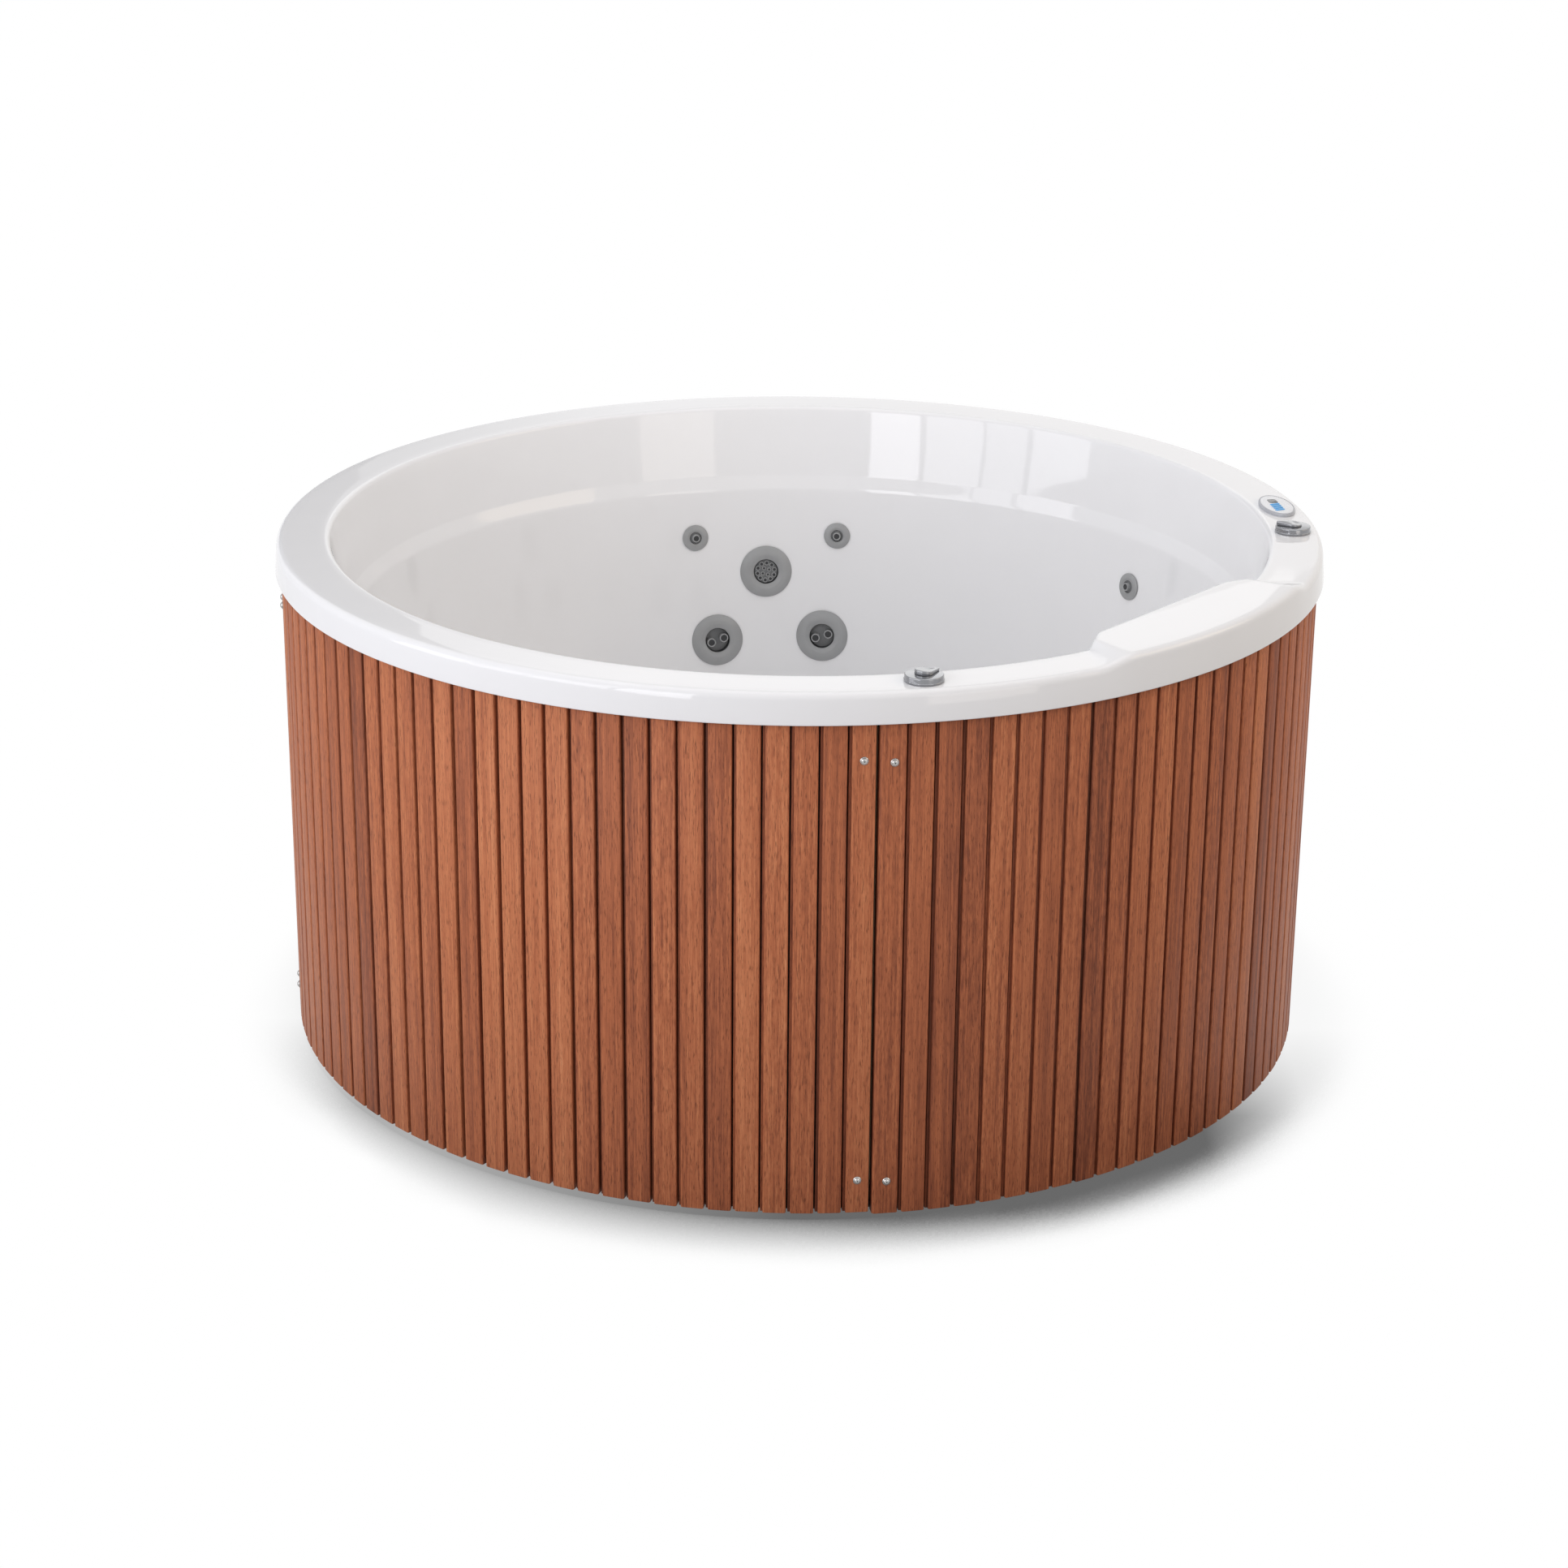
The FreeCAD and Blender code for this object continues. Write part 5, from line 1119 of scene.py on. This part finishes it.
# Control panel: oval case, white face, display and four slanted keys
def pillow(length, width, foot, top, edge=KEY_EDGE):
    """A small rounded bar with softened top edges."""
    corner = min(length, width) * CORNER_SHARE

    def ring(shrink, height):
        half_x = width / 2 - shrink
        half_y = length / 2 - shrink
        radius = max(LEAST_CORNER, corner - shrink)
        shape = rounded([
            (-half_x, -half_y, radius),
            (half_x, -half_y, radius),
            (half_x, half_y, radius),
            (-half_x, half_y, radius),
        ], 6, closed=True)
        return [(x, y, height) for x, y in shape]

    bevel = edge * 0.3
    return loft([ring(0.0, foot), ring(0.0, top - edge), ring(bevel, top - bevel), ring(edge, top)])


def control_panel():
    place = upright(PANEL_BEARING, CONTROL_CIRCLE, RIM_TOP)
    half_x, half_y = PANEL_HALF

    def ovals(levels):
        rings = [ellipse(half_x - inset, half_y - inset, height) for inset, height in levels]
        return Form().add(loft(rings), place)

    ovals(CASE_LEVELS).piece("panel_case", "panel_grey", ["control_panel_case"])
    slant = Matrix.Rotation(math.radians(KEY_SLANT), 4, "Z")
    x, y = KEY_FIRST
    keys = []
    wells = Form()
    for number in range(KEY_COUNT):
        spot = place @ Matrix.Translation((x + KEY_PITCH * number, y, 0)) @ slant
        keys.append(spot)
        wells.add(pillow(*WELL_SIZE, *WELL_SPAN), spot)
    face_mesh = carved(ovals(FACE_LEVELS), wells, "panel_face")
    piece("panel_face", face_mesh, "panel_white", ["control_panel_fascia"])
    glass = pillow(*SCREEN_SIZE, *SCREEN_SPAN, SCREEN_EDGE)
    screen = Form().add(glass, place @ Matrix.Translation(SCREEN_PLACE))
    screen.piece("panel_screen", "display", ["control_panel_display"])
    for number, spot in enumerate(keys, 1):
        node = f"panel_key_{number}"
        key = Form().add(pillow(*KEY_SIZE, *KEY_SPAN), spot)
        key.piece(node + "_cap", "key_blue", [node], body=node)


control_panel()


# Stage: pale floor with a painted soft contact shadow
def floor_material():
    """White to the camera but for a painted shadow, and a grey that throws light up for the rest."""
    material = bpy.data.materials.new("pale_floor")
    material.use_nodes = True
    nodes = Nodes(material.node_tree)
    nodes.tree.nodes.clear()
    openness = nodes.add("AmbientOcclusion", {"Distance": SHADE_REACH}).outputs["AO"]
    where = nodes.add("TexCoord").outputs["Object"]
    axes = nodes.add("SeparateXYZ", {0: where}).outputs
    core = nodes.span(axes["X"], *SHADOW_CORE)
    edge = nodes.span(axes["X"], *SHADOW_EDGE)
    contact = nodes.span(openness, core, edge, *SHADOW_DEPTH)
    front = nodes.span(axes["Y"], *SHADOW_FRONT)
    left = nodes.span(axes["X"], *SHADOW_LEFT)
    right = nodes.span(axes["X"], *SHADOW_RIGHT)
    depth = nodes.math("MULTIPLY", contact, front)
    shadow = nodes.math("MULTIPLY", depth, nodes.math("MULTIPLY", left, right))
    glow = nodes.add("Emission", {"Strength": nodes.math("SUBTRACT", 1.0, shadow)})
    diffuse = nodes.add("BsdfDiffuse", {"Color": FLOOR_COLOUR})
    nodes.end("OutputMaterial", hidden=diffuse, shown=glow)
    return material


def stage():
    corners = ((-1, -1), (1, -1), (1, 1), (-1, 1))
    mesh = bpy.data.meshes.new("floor")
    mesh.from_pydata([(x * FLOOR_REACH, y * FLOOR_REACH, 0) for x, y in corners], [], [(0, 1, 2, 3)])
    floor = bpy.data.objects.new("floor", mesh)
    bpy.context.scene.collection.objects.link(floor)
    mesh.materials.append(floor_material())


# Light: cool windows at the front left, warm fills at the right, a bright wall behind, one panel above
def area_lamp(name, place, width, height, radiance, colour):
    data = bpy.data.lights.new(name, "AREA")
    data.shape = "RECTANGLE"
    data.size = width
    data.size_y = height
    data.energy = radiance * WATTS * width * height
    data.color = colour
    lamp = bpy.data.objects.new(name, data)
    lamp.location = place
    lamp.visible_camera = False
    bpy.context.scene.collection.objects.link(lamp)
    return lamp


def softbox(name, bearing, distance, low, high, width, radiance, colour):
    """An upright lamp that faces the tub's axis."""
    place = around(bearing, distance, (low + high) / 2)
    lamp = area_lamp(name, place, width, high - low, radiance, colour)
    inward = -around(bearing, 1, 0)
    lamp.rotation_mode = "QUATERNION"
    lamp.rotation_quaternion = inward.to_track_quat("-Z", "Y")


def surround():
    """White to the camera, white with a dark card to mirrors, and a dim dome to the rest."""
    world = bpy.data.worlds.new("studio")
    bpy.context.scene.world = world
    world.use_nodes = True
    nodes = Nodes(world.node_tree)
    nodes.tree.nodes.clear()
    rise = math.radians(CARD_RISE)
    toward = around(CARD_BEARING, math.cos(rise), math.sin(rise))
    where = nodes.add("TexCoord").outputs["Generated"]
    card = nodes.add("VectorMath", {0: where, 1: toward}, operation="DOT_PRODUCT").outputs["Value"]
    outer = math.cos(math.radians(CARD_OUTER))
    inner = math.cos(math.radians(CARD_INNER))
    fade = nodes.span(card, outer, inner, 1.0, CARD_STRENGTH, interpolation_type="SMOOTHSTEP")
    camera_ray = nodes.add("LightPath").outputs["Is Camera Ray"]
    strength = nodes.math("MAXIMUM", camera_ray, fade)
    dome = nodes.add("Background", {"Color": DOME_COLOUR, "Strength": DOME_STRENGTH})
    backdrop = nodes.add("Background", {"Color": (*WHITE, 1.0), "Strength": strength})
    nodes.end("OutputWorld", hidden=dome, shown=backdrop)


def light():
    low, high = WINDOW_EDGES
    for number, (first, last, radiance) in enumerate(WINDOWS):
        bearing = (first + last) / 2
        width = 2 * WINDOW_DISTANCE * math.sin(math.radians((last - first) / 2))
        softbox(f"window_{number}", bearing, WINDOW_DISTANCE, low, high, width, radiance, COOL)
    for box in SOFTBOXES:
        softbox(*box)
    area_lamp("overhead", OVERHEAD_PLACE, *OVERHEAD_SIDES, OVERHEAD_RADIANCE, OVERHEAD_COLOUR)
    surround()


# Camera: fitted to the rim and to the lower edge of the wood
def camera():
    data = bpy.data.cameras.new("camera")
    data.lens = LENS
    data.sensor_width = SENSOR_WIDTH
    item = bpy.data.objects.new("camera", data)
    yaw = Matrix.Rotation(math.radians(CAMERA_YAW), 4, "Z")
    pitch = Matrix.Rotation(math.radians(90 - CAMERA_DIP), 4, "X")
    roll = Matrix.Rotation(math.radians(CAMERA_ROLL), 4, "Z")
    item.matrix_world = Matrix.Translation(CAMERA_PLACE) @ yaw @ pitch @ roll
    bpy.context.scene.collection.objects.link(item)
    bpy.context.scene.camera = item


stage()
light()
camera()
bpy.context.scene.view_settings.view_transform = "Standard"
